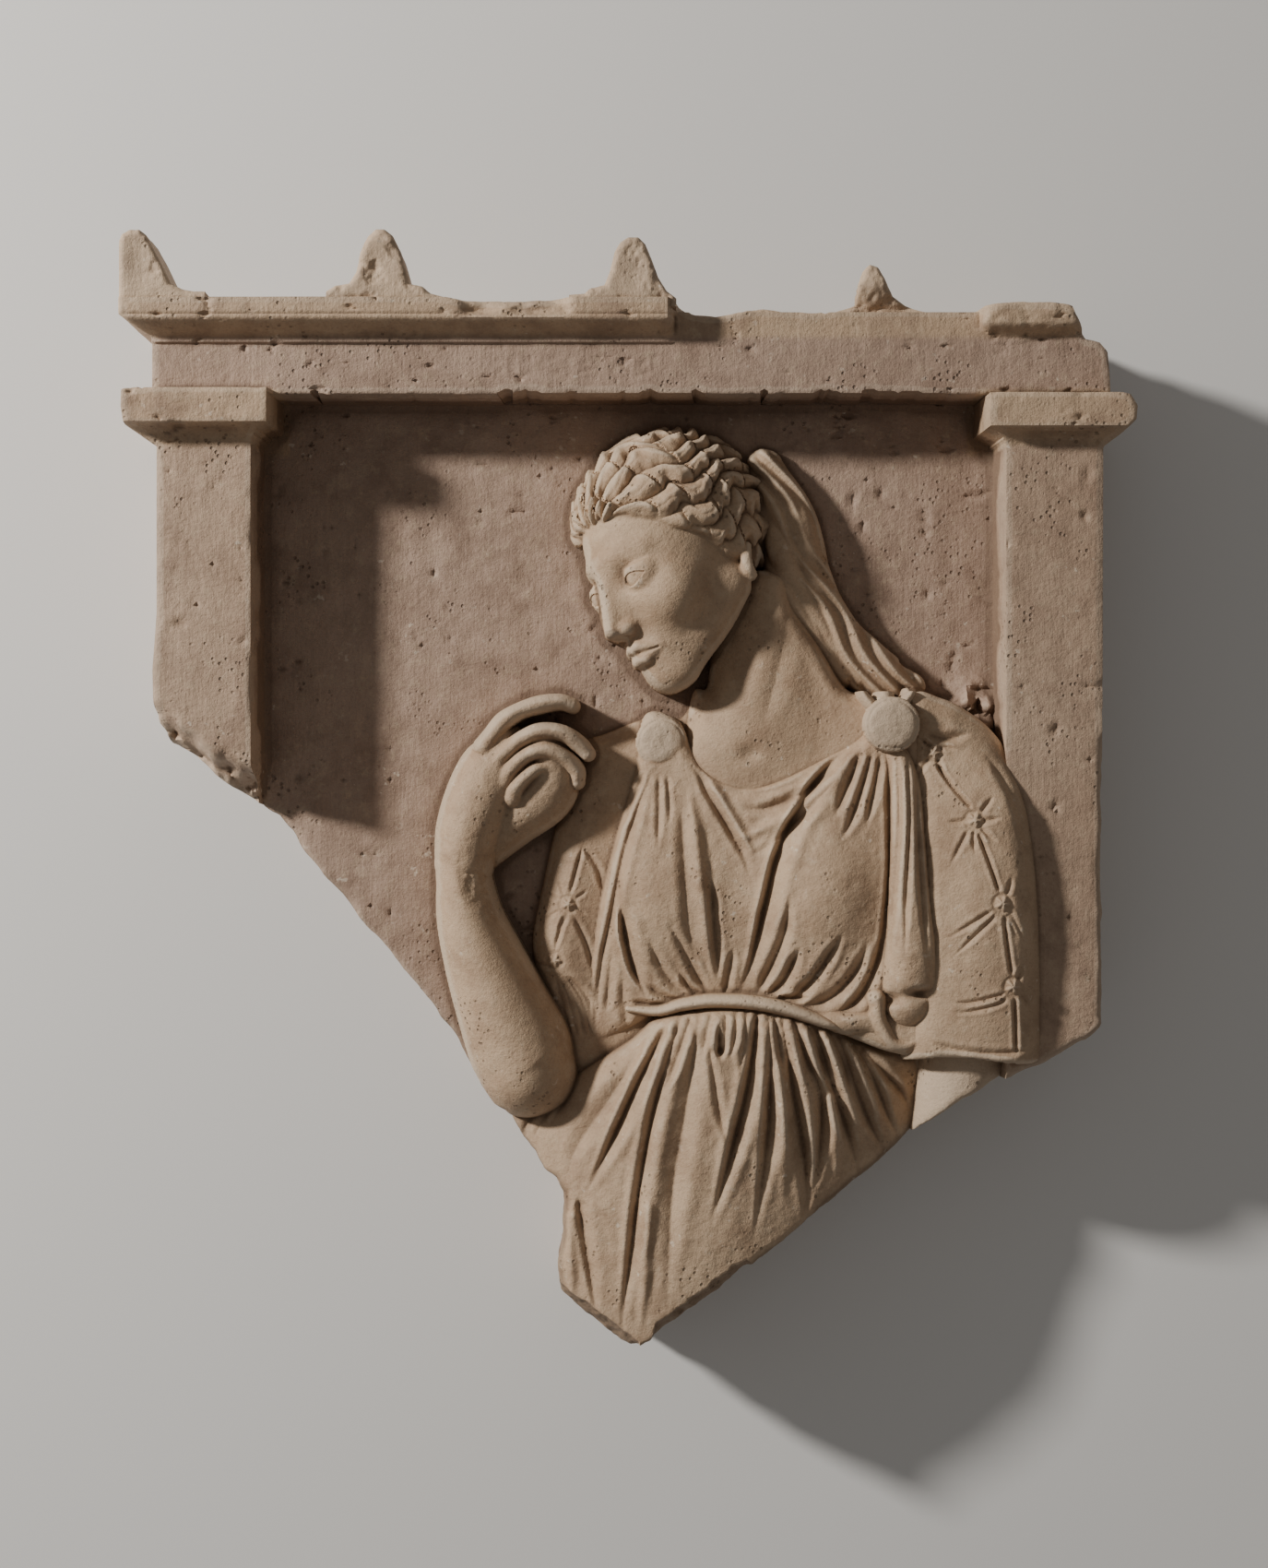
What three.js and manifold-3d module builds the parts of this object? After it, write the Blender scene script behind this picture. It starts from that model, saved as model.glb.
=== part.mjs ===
// Upper part of a marble grave stele: a small temple front in relief, with a standing woman before its ground.
// The whole work is one block of marble, so it is one closed body, lying on its flat back.
// Millimetres. +X is to the right of the relief, +Y to the top of the stele, +Z out of the relief.
import * as THREE from "three";
import { mergeVertices } from "three/addons/utils/BufferGeometryUtils.js";
import Module from "manifold-3d";

const wasm = await Module();
wasm.setup();

// ---- block and temple front ---------------------------------------------------------------------------------
const BACK = -62;              // back of the block, below the relief's ground at z = 0
const SUNK = -14;              // carved pieces start this far inside the block
const PILASTER = { inner: 269.5, outer: 342, face: 56, foot: -210, head: 290 };
const EPISTYLE = { left: -342, right: 343, bottom: 286, top: 326, face: 57 };
const CAPITAL = { bottom: 250, fascia: 264, top: 289, reach: 20, outer: 361 };
const CORNICE = { bottom: 325, fascia: 340, top: 357, reach: 22, left: -361, right: 328 };
const ROOF = { rear: 26, ridge: 404 };        // band of the block that carries the antefixes
const ANTEFIXES = [[-365, -300, 79], [-214, -128, 79], [-40, 33, 79], [154, 216, 66]];    // left, right, front
const BROKEN_CORNICE = { left: 33, step: 80, stub: 250, face: 50, lip: 63 };
const SCAR = { left: -118, right: -42, face: 70 };    // chipped length of the cornice's fascia
// Letter place on the epistyle: a row of short cuts that are no letters.
const STROKES = { left: -98, right: 25, bottom: 299, top: 314, count: 12, width: 1.6, depth: 1.4 };

// Outline of the block, clockwise from the left antefix: top with antefixes, right side, the two breaks, left side.
const TOP_EDGE = [[-361, 340], [-361, 392], [-354, 401], [-343, 398], [-330, 376], [-316, 358], [-214, 357],
  [-196, 362], [-190, 384], [-182, 400], [-170, 400], [-161, 384], [-156, 364], [-128, 352], [-60, 351],
  [-17, 362], [-12, 378], [-6, 393], [9, 394], [20, 372], [32, 356], [46, 344], [78, 345], [108, 350],
  [163, 352], [167, 372], [174, 380], [182, 375], [190, 358], [212, 349], [290, 350], [316, 348], [328, 326]];
const RIGHT_EDGE = [[343, 319], [345, 288], [357, 285], [361, 272], [356, 262], [340, 250], [339, -165]];
const BREAK_RIGHT = [[320, -182], [295, -193], [262, -208], [230, -228], [198, -256], [166, -283], [130, -306],
  [100, -331], [75, -352], [50, -370], [20, -390], [3, -401]];
const BREAK_LEFT = [[-6, -401], [-38, -373], [-50, -362], [-53, -335], [-48, -300], [-61, -275], [-81, -246],
  [-98, -227], [-120, -193], [-148, -152], [-180, -110], [-225, -58], [-250, -24], [-277, -3], [-302, 18],
  [-332, 38], [-340, 52]];
const LEFT_EDGE = [[-338, 100], [-338, 250], [-352, 258], [-360, 266], [-360, 288], [-342, 290], [-341, 326],
  [-352, 333]];

// ---- the woman: dress ---------------------------------------------------------------------------------------
const BODICE_TOP = [[8, 56], [36, 50], [50, 26], [66, 12], [88, 6], [112, 12], [140, 26], [166, 42], [186, 58],
  [208, 60]];
const BODICE_HEM = [[-38, -190], [-18, -182], [4, -174], [28, -158], [60, -152], [100, -158], [132, -166],
  [160, -176], [192, -186], [224, -186]];
const BREASTS = [{ x: 22, y: -72, across: 46, along: 62, rise: 20 },
  { x: 138, y: -70, across: 40, along: 62, rise: 19 }];
// Folds of the bodice that fall straight: points of the fold, half width, depth (a ridge where negative).
const BODICE_FOLDS = [
  { run: [[17, 17], [-4, -45], [-20, -125], [-26, -178]], half: 5, depth: 4.5 },
  { run: [[-6, -78], [-2, -105], [14, -146]], half: 6, depth: 6 },
  { run: [[44, 4], [55, -90], [63, -143]], half: 6, depth: -3 },
  { run: [[150, 20], [112, -30], [92, -90], [78, -146]], half: 7, depth: 7 },
  { run: [[184, 30], [184, -60], [176, -140]], half: 6, depth: 6 }];
// Folds that stand up across it: points, half width, rise above the cloth.
const BODICE_RIDGES = [
  { run: [[36, 20], [62, 13], [88, 6], [112, 11], [140, 27], [170, 44]], half: 3.6, rise: 2.6 },
  { run: [[54, 6], [66, -12], [100, -44]], half: 3.4, rise: 2.6 },
  { run: [[84, -10], [112, -4], [160, 30]], half: 3.6, rise: 2.6 },
  { run: [[164, 32], [126, -14], [104, -70], [88, -144]], half: 4.4, rise: 3.6 },
  { run: [[176, 30], [166, 0], [150, -36]], half: 3.4, rise: 2.8 },
  { run: [[96, -150], [114, -116], [120, -74]], half: 3.6, rise: 3 },
  { run: [[122, -154], [148, -118], [158, -90]], half: 4, rise: 3.6 },
  { run: [[154, -160], [178, -124], [184, -88]], half: 4, rise: 3.4 },
  { run: [[56, -148], [36, -108], [26, -88]], half: 3.6, rise: 2.8 },
  { run: [[40, -152], [20, -128], [6, -98]], half: 3.8, rise: 3 },
  { run: [[20, -158], [0, -150], [-10, -128]], half: 3.6, rise: 2.8 }];
// Skirt: each fold starts under the belt and fans out to the level of the foot of the fragment.
const SKIRT = { foot: -432, crown: 56, spread: 120, fall: 30, edge: 14 };
const PLEATS = [[22, -220, 0], [41, -104, 8.5], [56, -14, 8.5], [64, 24, 5.5], [80, 30, 2.5], [96, 36, 9],
  [104, 82, 7], [117, 140, 9.5], [134, 168, 6.5], [150, 226, 6.5], [168, 280, 5.5], [206, 350, 0]];
const SKIRT_TOP = [[22, -158], [60, -150], [110, -153], [150, -164], [206, -186]];
// Rounded runs: rows of x, y, height of the crest, half width, half thickness.
const SIDE_FOLDS = [[[-40, -205, 34, 10, 20], [-52, -240, 30, 9, 20], [-56, -275, 28, 9, 18]],
  [[-58, -225, 26, 9, 16], [-68, -250, 24, 8, 16], [-70, -280, 20, 8, 14]],
  [[-24, -200, 40, 12, 20], [-42, -245, 36, 11, 20], [-50, -300, 32, 10, 18]]];
const BELT = [[-2, -157, 30, 3, 10], [40, -152, 46, 5, 14], [84, -150, 54, 5.6, 14], [142, -164, 56, 4.4, 12]];
const POUCH = [[193, 36, 62, 9, 22], [197, -10, 70, 12, 26], [198, -90, 75, 14, 30], [196, -130, 75, 17, 30],
  [194, -152, 66, 16, 26]];
const POUCH_END = [[140, -166, 46, 6, 16], [158, -166, 55, 12, 24], [190, -171, 56, 13, 26], [206, -164, 52, 9, 20]];
const NEAR_SLEEVE = { left: [[206, 58], [213, 0], [222, -80], [229, -130], [218, -168], [219, -192]],
  right: [[226, 68], [268, 38], [288, -15], [296, -75], [299, -140], [298, -196]], crown: 60, rise: 14 };
const FAR_SLEEVE = { left: [[-22, 40], [-44, 18], [-54, -30], [-70, -96], [-68, -135], [-56, -205]],
  right: [[44, 57], [30, 20], [0, -30], [-14, -96], [-22, -150], [-24, -205]] };
// Star-shaped buttons along the sleeves: x, y, size; the seam runs from one to the next.
const NEAR_BUTTONS = [[218, 30, 4.5], [246, -18, 4.5], [265, -77, 4.5], [273, -136, 4.5]];
const FAR_BUTTONS = [[-44, -80, 3.5], [-54, -121, 3.5]];
const BROOCHES = [{ x: 24, y: 38, radius: 19, top: 32 }, { x: 188, y: 50, radius: 20, top: 71 }];

// ---- the woman: arms, neck and hair behind the neck ---------------------------------------------------------
const THROAT = { left: [[52, 80], [44, 52], [36, 24], [60, -2]], right: [[158, 80], [184, 68], [194, 56], [186, 34]] };
const NECK = [[112, 152, 32, 24, 36], [106, 122, 40, 31, 38], [104, 95, 42, 38, 36], [104, 68, 42, 48, 30],
  [102, 38, 40, 56, 24]];
const ELBOW = [[240, -170, 50, 26, 30], [236, -200, 46, 27, 34], [228, -244, 42, 26, 34]];
const FOREARM = [[-121, -42, 50, 21, 36], [-114, -90, 52, 27, 42], [-108, -120, 55, 31, 46], [-97, -158, 58, 35, 50],
  [-84, -192, 58, 36, 50], [-58, -206, 44, 28, 40]];
const HAND = [[-119, -46, 50, 22, 36], [-116, -26, 50, 25, 34], [-104, 4, 49, 27, 32], [-92, 30, 45, 20, 28]];
const PALM = [[-102, -36, 30, 14, 24], [-80, -8, 32, 18, 24], [-60, 14, 32, 18, 24], [-50, 24, 30, 14, 20]];
const FINGERS = [
  [[-96, 34, 46, 10, 16], [-74, 63, 48, 8, 13], [-58, 65, 47, 7.6, 12], [-43, 67, 45, 7, 12]],
  [[-92, 26, 47, 10, 16], [-80, 40, 50, 8.6, 14], [-63, 45, 51, 8, 13], [-34, 36, 47, 7, 12]],
  [[-86, 10, 47, 10, 16], [-74, 25, 51, 8.4, 14], [-61, 31, 52, 7.6, 13], [-38, 18, 46, 7, 12]],
  [[-82, -6, 45, 9, 16], [-75, 7, 48, 7.6, 14], [-66, 14, 49, 7, 13], [-48, 4, 42, 6, 11]]];
const HAIR_FALL = { root: [106, 216], bend: [130, 160], tip: [180, 88], locks: 4, spread: 30, crest: 24, half: 10 };

// ---- the head: its own frame has x to the woman's left, y up the head, z forward ----------------------------
const HEAD = { x: 28.5, y: 187, lift: 14, scale: 0.895, press: 0.95, yaw: 55, nod: 26 };
const SKULL = { centre: [0, 8, -8], radii: [62, 68, 78] };
const FACE = { centre: [0, -30, 20], radii: [54, 66, 57] };
const HAIR = { centre: [0, 8, -8], radii: [69, 76, 83], axis: 16, locks: 10, rise: 5, wave: 0.12, length: 9 };
const HAIRLINE = [[-95, -86], [-40, -66], [-8, -40], [12, -16], [34, 6], [55, 26], [78, 46]];
const EYE = { x: 28, y: -19, z: 57.5, radius: 17.5 };
const NOSE = [[5, -4, 78], [6.5, -28, 88], [9, -50, 98], [10, -59, 94]];    // half width, y, z of the bridge
// Small forms of the face: centre and radii.
const FEATURES = [[[EYE.x, EYE.y, EYE.z], [EYE.radius, EYE.radius, EYE.radius]],
  [[9, -56, 80], [8, 7, 9]], [[0, -76, 71], [17, 4, 11]], [[0, -86, 69], [14, 4.6, 11]],
  [[60, -60, -16], [9, 10, 8]]];

// ---- helpers ------------------------------------------------------------------------------------------------
const clamp = THREE.MathUtils.clamp;
const ease = (from, to, x) => THREE.MathUtils.smoothstep(x, from, to);
const vector = (p) => new THREE.Vector3(p[0], p[1], p[2] ?? 0);

// Value of a broken line of [key, value] pairs at x.
function along(pairs, x) {
  const next = pairs.findIndex((pair) => pair[0] >= x);
  if (next < 0) return pairs[pairs.length - 1][1];
  if (next === 0) return pairs[0][1];
  const [a, b] = [pairs[next - 1], pairs[next]];
  return THREE.MathUtils.mapLinear(x, a[0], b[0], a[1], b[1]);
}

// Smooth line through points, as equally spaced plan points.
function smooth(points, count) {
  return new THREE.CatmullRomCurve3(points.map(vector), false, "catmullrom", 0.5).getPoints(count);
}

// Plan distance from a point to a line of plan points.
function distanceTo(line, x, y) {
  let best = Infinity;
  for (let i = 1; i < line.length; i += 1) {
    const [a, b] = [line[i - 1], line[i]];
    const [dx, dy] = [b.x - a.x, b.y - a.y];
    const t = clamp(((x - a.x) * dx + (y - a.y) * dy) / (dx * dx + dy * dy + 1e-9), 0, 1);
    best = Math.min(best, Math.hypot(x - a.x - t * dx, y - a.y - t * dy));
  }
  return best;
}

// Share of the full height at a distance inside an edge that is rounded with this radius.
const rounded = (distance, radius) => Math.sqrt(1 - (1 - clamp(distance / radius, 0, 1)) ** 2);

// Closed body from a geometry of three.js, for joining and cutting.
function body(geometry) {
  const plain = geometry.clone();
  plain.deleteAttribute("normal");
  plain.deleteAttribute("uv");
  const welded = mergeVertices(plain, 1e-4);
  return new wasm.Manifold(new wasm.Mesh({
    numProp: 3,
    vertProperties: new Float32Array(welded.attributes.position.array),
    triVerts: new Uint32Array(welded.index.array),
  }));
}

// Closed geometry from rings of equally many points, ends closed by a fan. Each quad is split along its shorter
// diagonal, so that the split follows a fold.
function loft(rings) {
  const sides = rings[0].length;
  const positions = rings.flat().flatMap((p) => [p.x, p.y, p.z]);
  const index = [];
  for (let i = 0; i + 1 < rings.length; i += 1) {
    for (let k = 0; k < sides; k += 1) {
      const [a, b] = [i * sides + k, i * sides + ((k + 1) % sides)];
      const [p, q] = [rings[i], rings[i + 1]].map((ring) => [ring[k], ring[(k + 1) % sides]]);
      if (p[0].distanceTo(q[1]) <= p[1].distanceTo(q[0])) index.push(a, b, b + sides, a, b + sides, a + sides);
      else index.push(a, b, a + sides, b, b + sides, a + sides);
    }
  }
  const last = (rings.length - 1) * sides;
  for (let k = 1; k + 1 < sides; k += 1) {
    index.push(0, k + 1, k);
    index.push(last, last + k, last + k + 1);
  }
  const geometry = new THREE.BufferGeometry();
  geometry.setAttribute("position", new THREE.Float32BufferAttribute(positions, 3));
  geometry.setIndex(index);
  return geometry;
}

// Box between two corners.
function block(low, high) {
  const size = high.map((value, axis) => value - low[axis]);
  const middle = high.map((value, axis) => (value + low[axis]) / 2);
  return body(new THREE.BoxGeometry(...size).translate(...middle));
}

// Plan outline raised between two heights.
function plate(points, bottom, top) {
  const shape = new THREE.Shape(points.map((p) => new THREE.Vector2(p[0], p[1])));
  const geometry = new THREE.ExtrudeGeometry(shape, { depth: top - bottom, bevelEnabled: false });
  return body(geometry.translate(0, 0, bottom));
}

// Moulding that lies along x: levels of [y, left, right, height], each a rectangle that reaches into the block.
function moulding(levels) {
  return body(loft(levels.map(([y, left, right, height]) => [
    new THREE.Vector3(left, y, SUNK), new THREE.Vector3(left, y, height),
    new THREE.Vector3(right, y, height), new THREE.Vector3(right, y, SUNK)])));
}

// Raised patch: a grid between a left and a right line, under a crown height, with rounded edges.
function patch(across, rows, place, crown, edge, radius) {
  const spot = (i, j) => place(i / across, j / rows);
  const rim = [];
  for (let i = 0; i <= across; i += 1) rim.push(spot(i, 0));
  for (let j = 1; j <= rows; j += 1) rim.push(spot(across, j));
  for (let i = across - 1; i >= 0; i -= 1) rim.push(spot(i, rows));
  for (let j = rows - 1; j >= 0; j -= 1) rim.push(spot(0, j));
  const rings = [];
  for (let j = 0; j <= rows; j += 1) {
    const ring = [];
    for (let i = 0; i <= across; i += 1) {
      const { x, y } = spot(i, j);
      const low = edge(x, y);
      const share = rounded(distanceTo(rim, x, y), radius);
      ring.push(new THREE.Vector3(x, y, low + (crown(x, y, i / across, j / rows) - low) * share));
    }
    const ends = [spot(across, j), spot(0, j)];
    ring.push(new THREE.Vector3(ends[0].x, ends[0].y, SUNK), new THREE.Vector3(ends[1].x, ends[1].y, SUNK));
    rings.push(ring);
  }
  return body(loft(rings.reverse()));
}

// Place on a patch whose left and right sides are smooth lines.
function between(left, right) {
  const [a, b] = [left, right].map((side) => new THREE.CatmullRomCurve3(side.map(vector), false, "catmullrom", 0.5));
  return (u, v) => {
    const bunched = (1 - Math.cos(Math.PI * u)) / 2;
    return a.getPoint(v).lerp(b.getPoint(v), (u + bunched) / 2);
  };
}

// Half-round run along rows of [x, y, crest, half width, half thickness], with rounded ends where capped.
function run(rows, steps, sides, capped = true) {
  const spine = new THREE.CatmullRomCurve3(rows.map((r) => new THREE.Vector3(r[0], r[1], r[2])), false,
    "catmullrom", 0.5);
  const girth = new THREE.CatmullRomCurve3(rows.map((r) => new THREE.Vector3(r[3], r[4], 0)), false,
    "catmullrom", 0.5);
  const stations = [];
  for (let i = 0; i <= steps; i += 1) stations.push([i / steps, 0, 1]);
  for (const angle of capped ? [45, 78] : []) {
    const radians = THREE.MathUtils.degToRad(angle);
    stations.unshift([0, -Math.sin(radians), Math.cos(radians)]);
    stations.push([1, Math.sin(radians), Math.cos(radians)]);
  }
  return body(loft(stations.map(([t, past, slim]) => {
    const centre = spine.getPoint(t);
    const tangent = spine.getTangent(t).setZ(0).normalize();
    const side = new THREE.Vector3(tangent.y, -tangent.x, 0);
    const { x: half, y: thick } = girth.getPoint(t);
    centre.addScaledVector(tangent, past * half);
    const ring = [];
    for (let k = 0; k <= sides; k += 1) {
      const angle = Math.PI * (1 - k / sides);
      const point = centre.clone().addScaledVector(side, Math.cos(angle) * half * slim);
      ring.push(point.setZ(Math.max(centre.z - thick + Math.sin(angle) * thick * slim, SUNK + 1)));
    }
    ring.push(ring[sides].clone().setZ(SUNK), ring[0].clone().setZ(SUNK));
    return ring;
  })));
}

// Change of height that a fold makes: a groove with a soft lip on each side, fading at its ends.
function foldDepth(line, half, depth, x, y) {
  const offset = distanceTo(line, x, y) / half;
  const lip = 0.35 * Math.exp(-(((offset - 1.9) / 0.9) ** 2));
  return (lip - Math.exp(-offset * offset)) * depth;
}

// ---- block --------------------------------------------------------------------------------------------------
const OUTLINE = [...TOP_EDGE, ...RIGHT_EDGE, ...BREAK_RIGHT, ...BREAK_LEFT, ...LEFT_EDGE].reverse();

function cavetto(share) {
  return 1 - Math.sqrt(1 - share * share);
}

function capital(mirror) {
  const levels = [];
  for (const share of [0, 0.35, 0.6, 0.8, 0.93, 1]) {
    const reach = CAPITAL.reach * cavetto(share);
    const y = CAPITAL.bottom + (CAPITAL.fascia - CAPITAL.bottom) * share;
    levels.push([y, PILASTER.inner - 0.7 * reach, CAPITAL.outer, PILASTER.face + reach]);
  }
  levels.push([CAPITAL.top, PILASTER.inner - 0.7 * CAPITAL.reach, CAPITAL.outer, PILASTER.face + CAPITAL.reach]);
  return moulding(levels.map(([y, left, right, z]) => (mirror ? [y, -right, -left, z] : [y, left, right, z])));
}

function cornice(left, right, faceAt) {
  const levels = [];
  for (const share of [0, 0.25, 0.5, 0.75, 1]) {
    const y = CORNICE.bottom + (CORNICE.fascia - CORNICE.bottom) * share;
    levels.push([y, left, right, Math.min(faceAt, EPISTYLE.face + CORNICE.reach * share ** 0.7)]);
  }
  levels.push([CORNICE.top - 3, left, right, Math.min(faceAt, EPISTYLE.face + CORNICE.reach)]);
  return moulding(levels);
}

function letterPlace() {
  const cuts = [];
  const pitch = (STROKES.right - STROKES.left) / STROKES.count;
  const tall = STROKES.top - STROKES.bottom;
  for (let k = 0; k < STROKES.count; k += 1) {
    const cut = new THREE.BoxGeometry(STROKES.width, tall * (k % 3 ? 0.95 : 0.6), STROKES.depth * 2);
    cut.rotateZ(THREE.MathUtils.degToRad([14, 0, -14, 4][k % 4]));
    cuts.push(body(cut.translate(STROKES.left + (k + 0.5) * pitch, STROKES.bottom + tall / 2, EPISTYLE.face)));
  }
  return cuts;
}

function templeFront() {
  const parts = [];
  parts.push(block([-365, -410, BACK], [365, CORNICE.top - 6, 0]));
  for (const side of [-1, 1]) {
    const [a, b] = [side * PILASTER.inner, side * PILASTER.outer].sort((p, q) => p - q);
    parts.push(block([a, PILASTER.foot, SUNK], [b, PILASTER.head, PILASTER.face]));
    parts.push(capital(side < 0));
  }
  parts.push(block([EPISTYLE.left, EPISTYLE.bottom, SUNK], [EPISTYLE.right, EPISTYLE.top, EPISTYLE.face]));
  parts.push(block([EPISTYLE.left, EPISTYLE.top - 4, BACK], [EPISTYLE.right, CORNICE.top - 12, EPISTYLE.face - 12]));
  parts.push(cornice(CORNICE.left, SCAR.left, Infinity));
  parts.push(cornice(SCAR.left, SCAR.right, SCAR.face));
  parts.push(cornice(SCAR.right, BROKEN_CORNICE.left, Infinity));
  parts.push(cornice(BROKEN_CORNICE.left, BROKEN_CORNICE.step, BROKEN_CORNICE.face));
  parts.push(cornice(BROKEN_CORNICE.step, BROKEN_CORNICE.stub, BROKEN_CORNICE.lip));
  parts.push(cornice(BROKEN_CORNICE.stub, CORNICE.right, BROKEN_CORNICE.lip + 6));
  for (const [left, right, front] of ANTEFIXES) {
    parts.push(block([left, CORNICE.top - 12, ROOF.rear], [right, ROOF.ridge, front]));
  }
  return parts;
}

// ---- figure -------------------------------------------------------------------------------------------------
function throat() {
  const crown = (x) => 22 + (x - 40) * 0.17;
  const chest = patch(8, 6, between(THROAT.left, THROAT.right), crown, () => 8, 14);
  return [chest, run(NECK, 4, 7)];
}

function bodice() {
  const [top, hem] = [BODICE_TOP, BODICE_HEM].map((line) =>
    new THREE.CatmullRomCurve3(line.map(vector), false, "catmullrom", 0.5));
  const lines = BODICE_FOLDS.map((fold) => smooth(fold.run, 10));
  const crown = (x, y) => {
    let z = 16 + (x + 40) * 0.165;
    for (const breast of BREASTS) {
      z += breast.rise * Math.exp(-(((x - breast.x) / breast.across) ** 2) - ((y - breast.y) / breast.along) ** 2);
    }
    z -= 4 * Math.exp(-(((x - 80) / 60) ** 2) - ((y + 150) / 26) ** 2);
    z -= 8 * ease(160, 186, x) * ease(20, -40, y) * (1 - ease(196, 205, x));
    lines.forEach((line, k) => { z += foldDepth(line, BODICE_FOLDS[k].half, BODICE_FOLDS[k].depth, x, y); });
    return z;
  };
  const place = (u, v) => top.getPoint(u).lerp(hem.getPoint(u), v);
  const ridges = BODICE_RIDGES.map(({ run: points, half, rise }) => {
    const last = points.length - 1;
    const rows = points.map(([x, y], k) => {
      const fade = k === 0 || k === last ? 0.4 : 1;
      return [x, y, crown(x, y) + 1.4 * rise * fade, 1.3 * half * fade, 9];
    });
    return run(rows, 2 * last, 4, false);
  });
  return [patch(26, 12, place, crown, (x) => 6 + (x + 40) * 0.15, 11), ...ridges];
}

function skirt() {
  const belt = smooth(SKIRT_TOP, 30).map((p) => [p.x, p.y]);
  const stops = [];
  PLEATS.forEach(([top, foot, depth], k) => {
    stops.push([top, foot, depth]);
    if (k + 1 === PLEATS.length) return;
    const next = PLEATS[k + 1];
    const crest = -0.16 * (depth + next[2]);
    for (const [share, rise] of [[0.2, 0.3 * depth], [0.5, crest], [0.8, 0.3 * next[2]]]) {
      stops.push([top + (next[0] - top) * share, foot + (next[1] - foot) * share, rise]);
    }
  });
  const place = (u, v) => {
    const [top, foot] = stops[Math.round(u * (stops.length - 1))];
    const y = along(belt, top);
    return new THREE.Vector3(top + (foot - top) * v ** 1.15, y + (SKIRT.foot - y) * v, 0);
  };
  const crown = (x, y, u, v) => {
    const middle = 84 - 60 * clamp((-150 - y) / 250, 0, 1);
    const round = SKIRT.crown - SKIRT.fall * ((x - middle) / SKIRT.spread) ** 2;
    const depth = stops[Math.round(u * (stops.length - 1))][2];
    return Math.max(round - depth * ease(-0.05, 0.1, v) * (1 - 0.45 * v), 4);
  };
  return [patch(stops.length - 1, 7, place, crown, () => SKIRT.edge, 20),
    ...SIDE_FOLDS.map((rows) => run(rows, 3, 4))];
}

// Star button: a low pyramid whose arms run out over the cloth.
function starButton([x, y, size], arms, reach, crown) {
  const ring = (radius, lift) => {
    const points = [];
    for (let k = 0; k < 2 * arms; k += 1) {
      const angle = (k + 0.5) * Math.PI / arms;
      const far = k % 2 ? size * 0.8 : radius;
      const [px, py] = [x + Math.cos(angle) * far, y + Math.sin(angle) * far];
      points.push(new THREE.Vector3(px, py, lift === null ? SUNK : crown(px, py) + lift));
    }
    return points;
  };
  return body(loft([ring(reach, null), ring(reach, 0.3), ring(size * 0.7, 3.4)]));
}

function sleeves() {
  const seam = smooth(NEAR_BUTTONS.map(([x, y]) => [x, y]).concat([[276, -190]]), 16);
  const nearCrown = (x, y) => {
    let z = NEAR_SLEEVE.crown;
    z += NEAR_SLEEVE.rise * Math.exp(-(((x - 248) / 42) ** 2) - ((y + 70) / 130) ** 2);
    z -= 10 * ease(262, 300, x) + 16 * ease(-20, 60, y) * ease(230, 285, x);
    return z + foldDepth(seam, 4, 3.5, x, y);
  };
  const farCrown = (x, y) => 18 + 6 * Math.exp(-(((x + 50) / 22) ** 2) - ((y + 110) / 60) ** 2);
  const parts = [
    patch(9, 12, between(NEAR_SLEEVE.left, NEAR_SLEEVE.right), nearCrown, () => 40, 26),
    patch(7, 9, between(FAR_SLEEVE.left, FAR_SLEEVE.right), farCrown, () => 2, 26)];
  for (const button of NEAR_BUTTONS) parts.push(starButton(button, 5, 17, (x, y) => nearCrown(x, y) - 1));
  for (const button of FAR_BUTTONS) parts.push(starButton(button, 5, 13, farCrown));
  parts.push(run(POUCH, 5, 5), run(POUCH_END, 4, 5), run(BELT, 7, 4), run(ELBOW, 3, 5));
  for (const brooch of BROOCHES) {
    const shell = new THREE.LatheGeometry([[0, SUNK], [brooch.radius, SUNK], [brooch.radius, brooch.top - 6.5],
      [brooch.radius * 0.8, brooch.top - 2.6], [0, brooch.top]].map((p) => new THREE.Vector2(p[0], p[1])), 16);
    parts.push(body(shell.rotateX(Math.PI / 2).translate(brooch.x, brooch.y, 0)));
  }
  return parts;
}

function raisedArm() {
  return [run(FOREARM, 8, 8), run(HAND, 4, 6), run(PALM, 3, 5), ...FINGERS.map((rows) => run(rows, 4, 5))];
}

// Locks that fall behind the neck to the shoulder, fanned out side by side.
function hairFall() {
  const parts = [];
  for (let k = 0; k < HAIR_FALL.locks; k += 1) {
    const share = k / (HAIR_FALL.locks - 1) - 0.5;
    const rows = [HAIR_FALL.root, HAIR_FALL.bend, HAIR_FALL.tip].map(([x, y], row) => {
      const shift = share * HAIR_FALL.spread * (0.7 + 0.25 * row);
      return [x + shift, y + shift * 0.35, HAIR_FALL.crest - 4 * Math.abs(share) - 3 * row, HAIR_FALL.half, 14];
    });
    parts.push(run(rows, 4, 4));
  }
  return parts;
}

// ---- head ---------------------------------------------------------------------------------------------------
// Every form below is a distance: negative inside it. Joined forms flow together over the blend width.
function joined(a, b, blend) {
  const h = clamp(0.5 + 0.5 * (b - a) / blend, 0, 1);
  return b + (a - b) * h - blend * h * (1 - h);
}

function cutBy(a, b, blend) {
  return -joined(-a, b, blend);
}

function egg(p, centre, radii) {
  const q = [0, 1, 2].map((axis) => (p[axis] - centre[axis]) / radii[axis]);
  const near = Math.hypot(...q);
  return near * (near - 1) / Math.max(Math.hypot(...q.map((value, axis) => value / radii[axis])), 1e-6);
}

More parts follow.
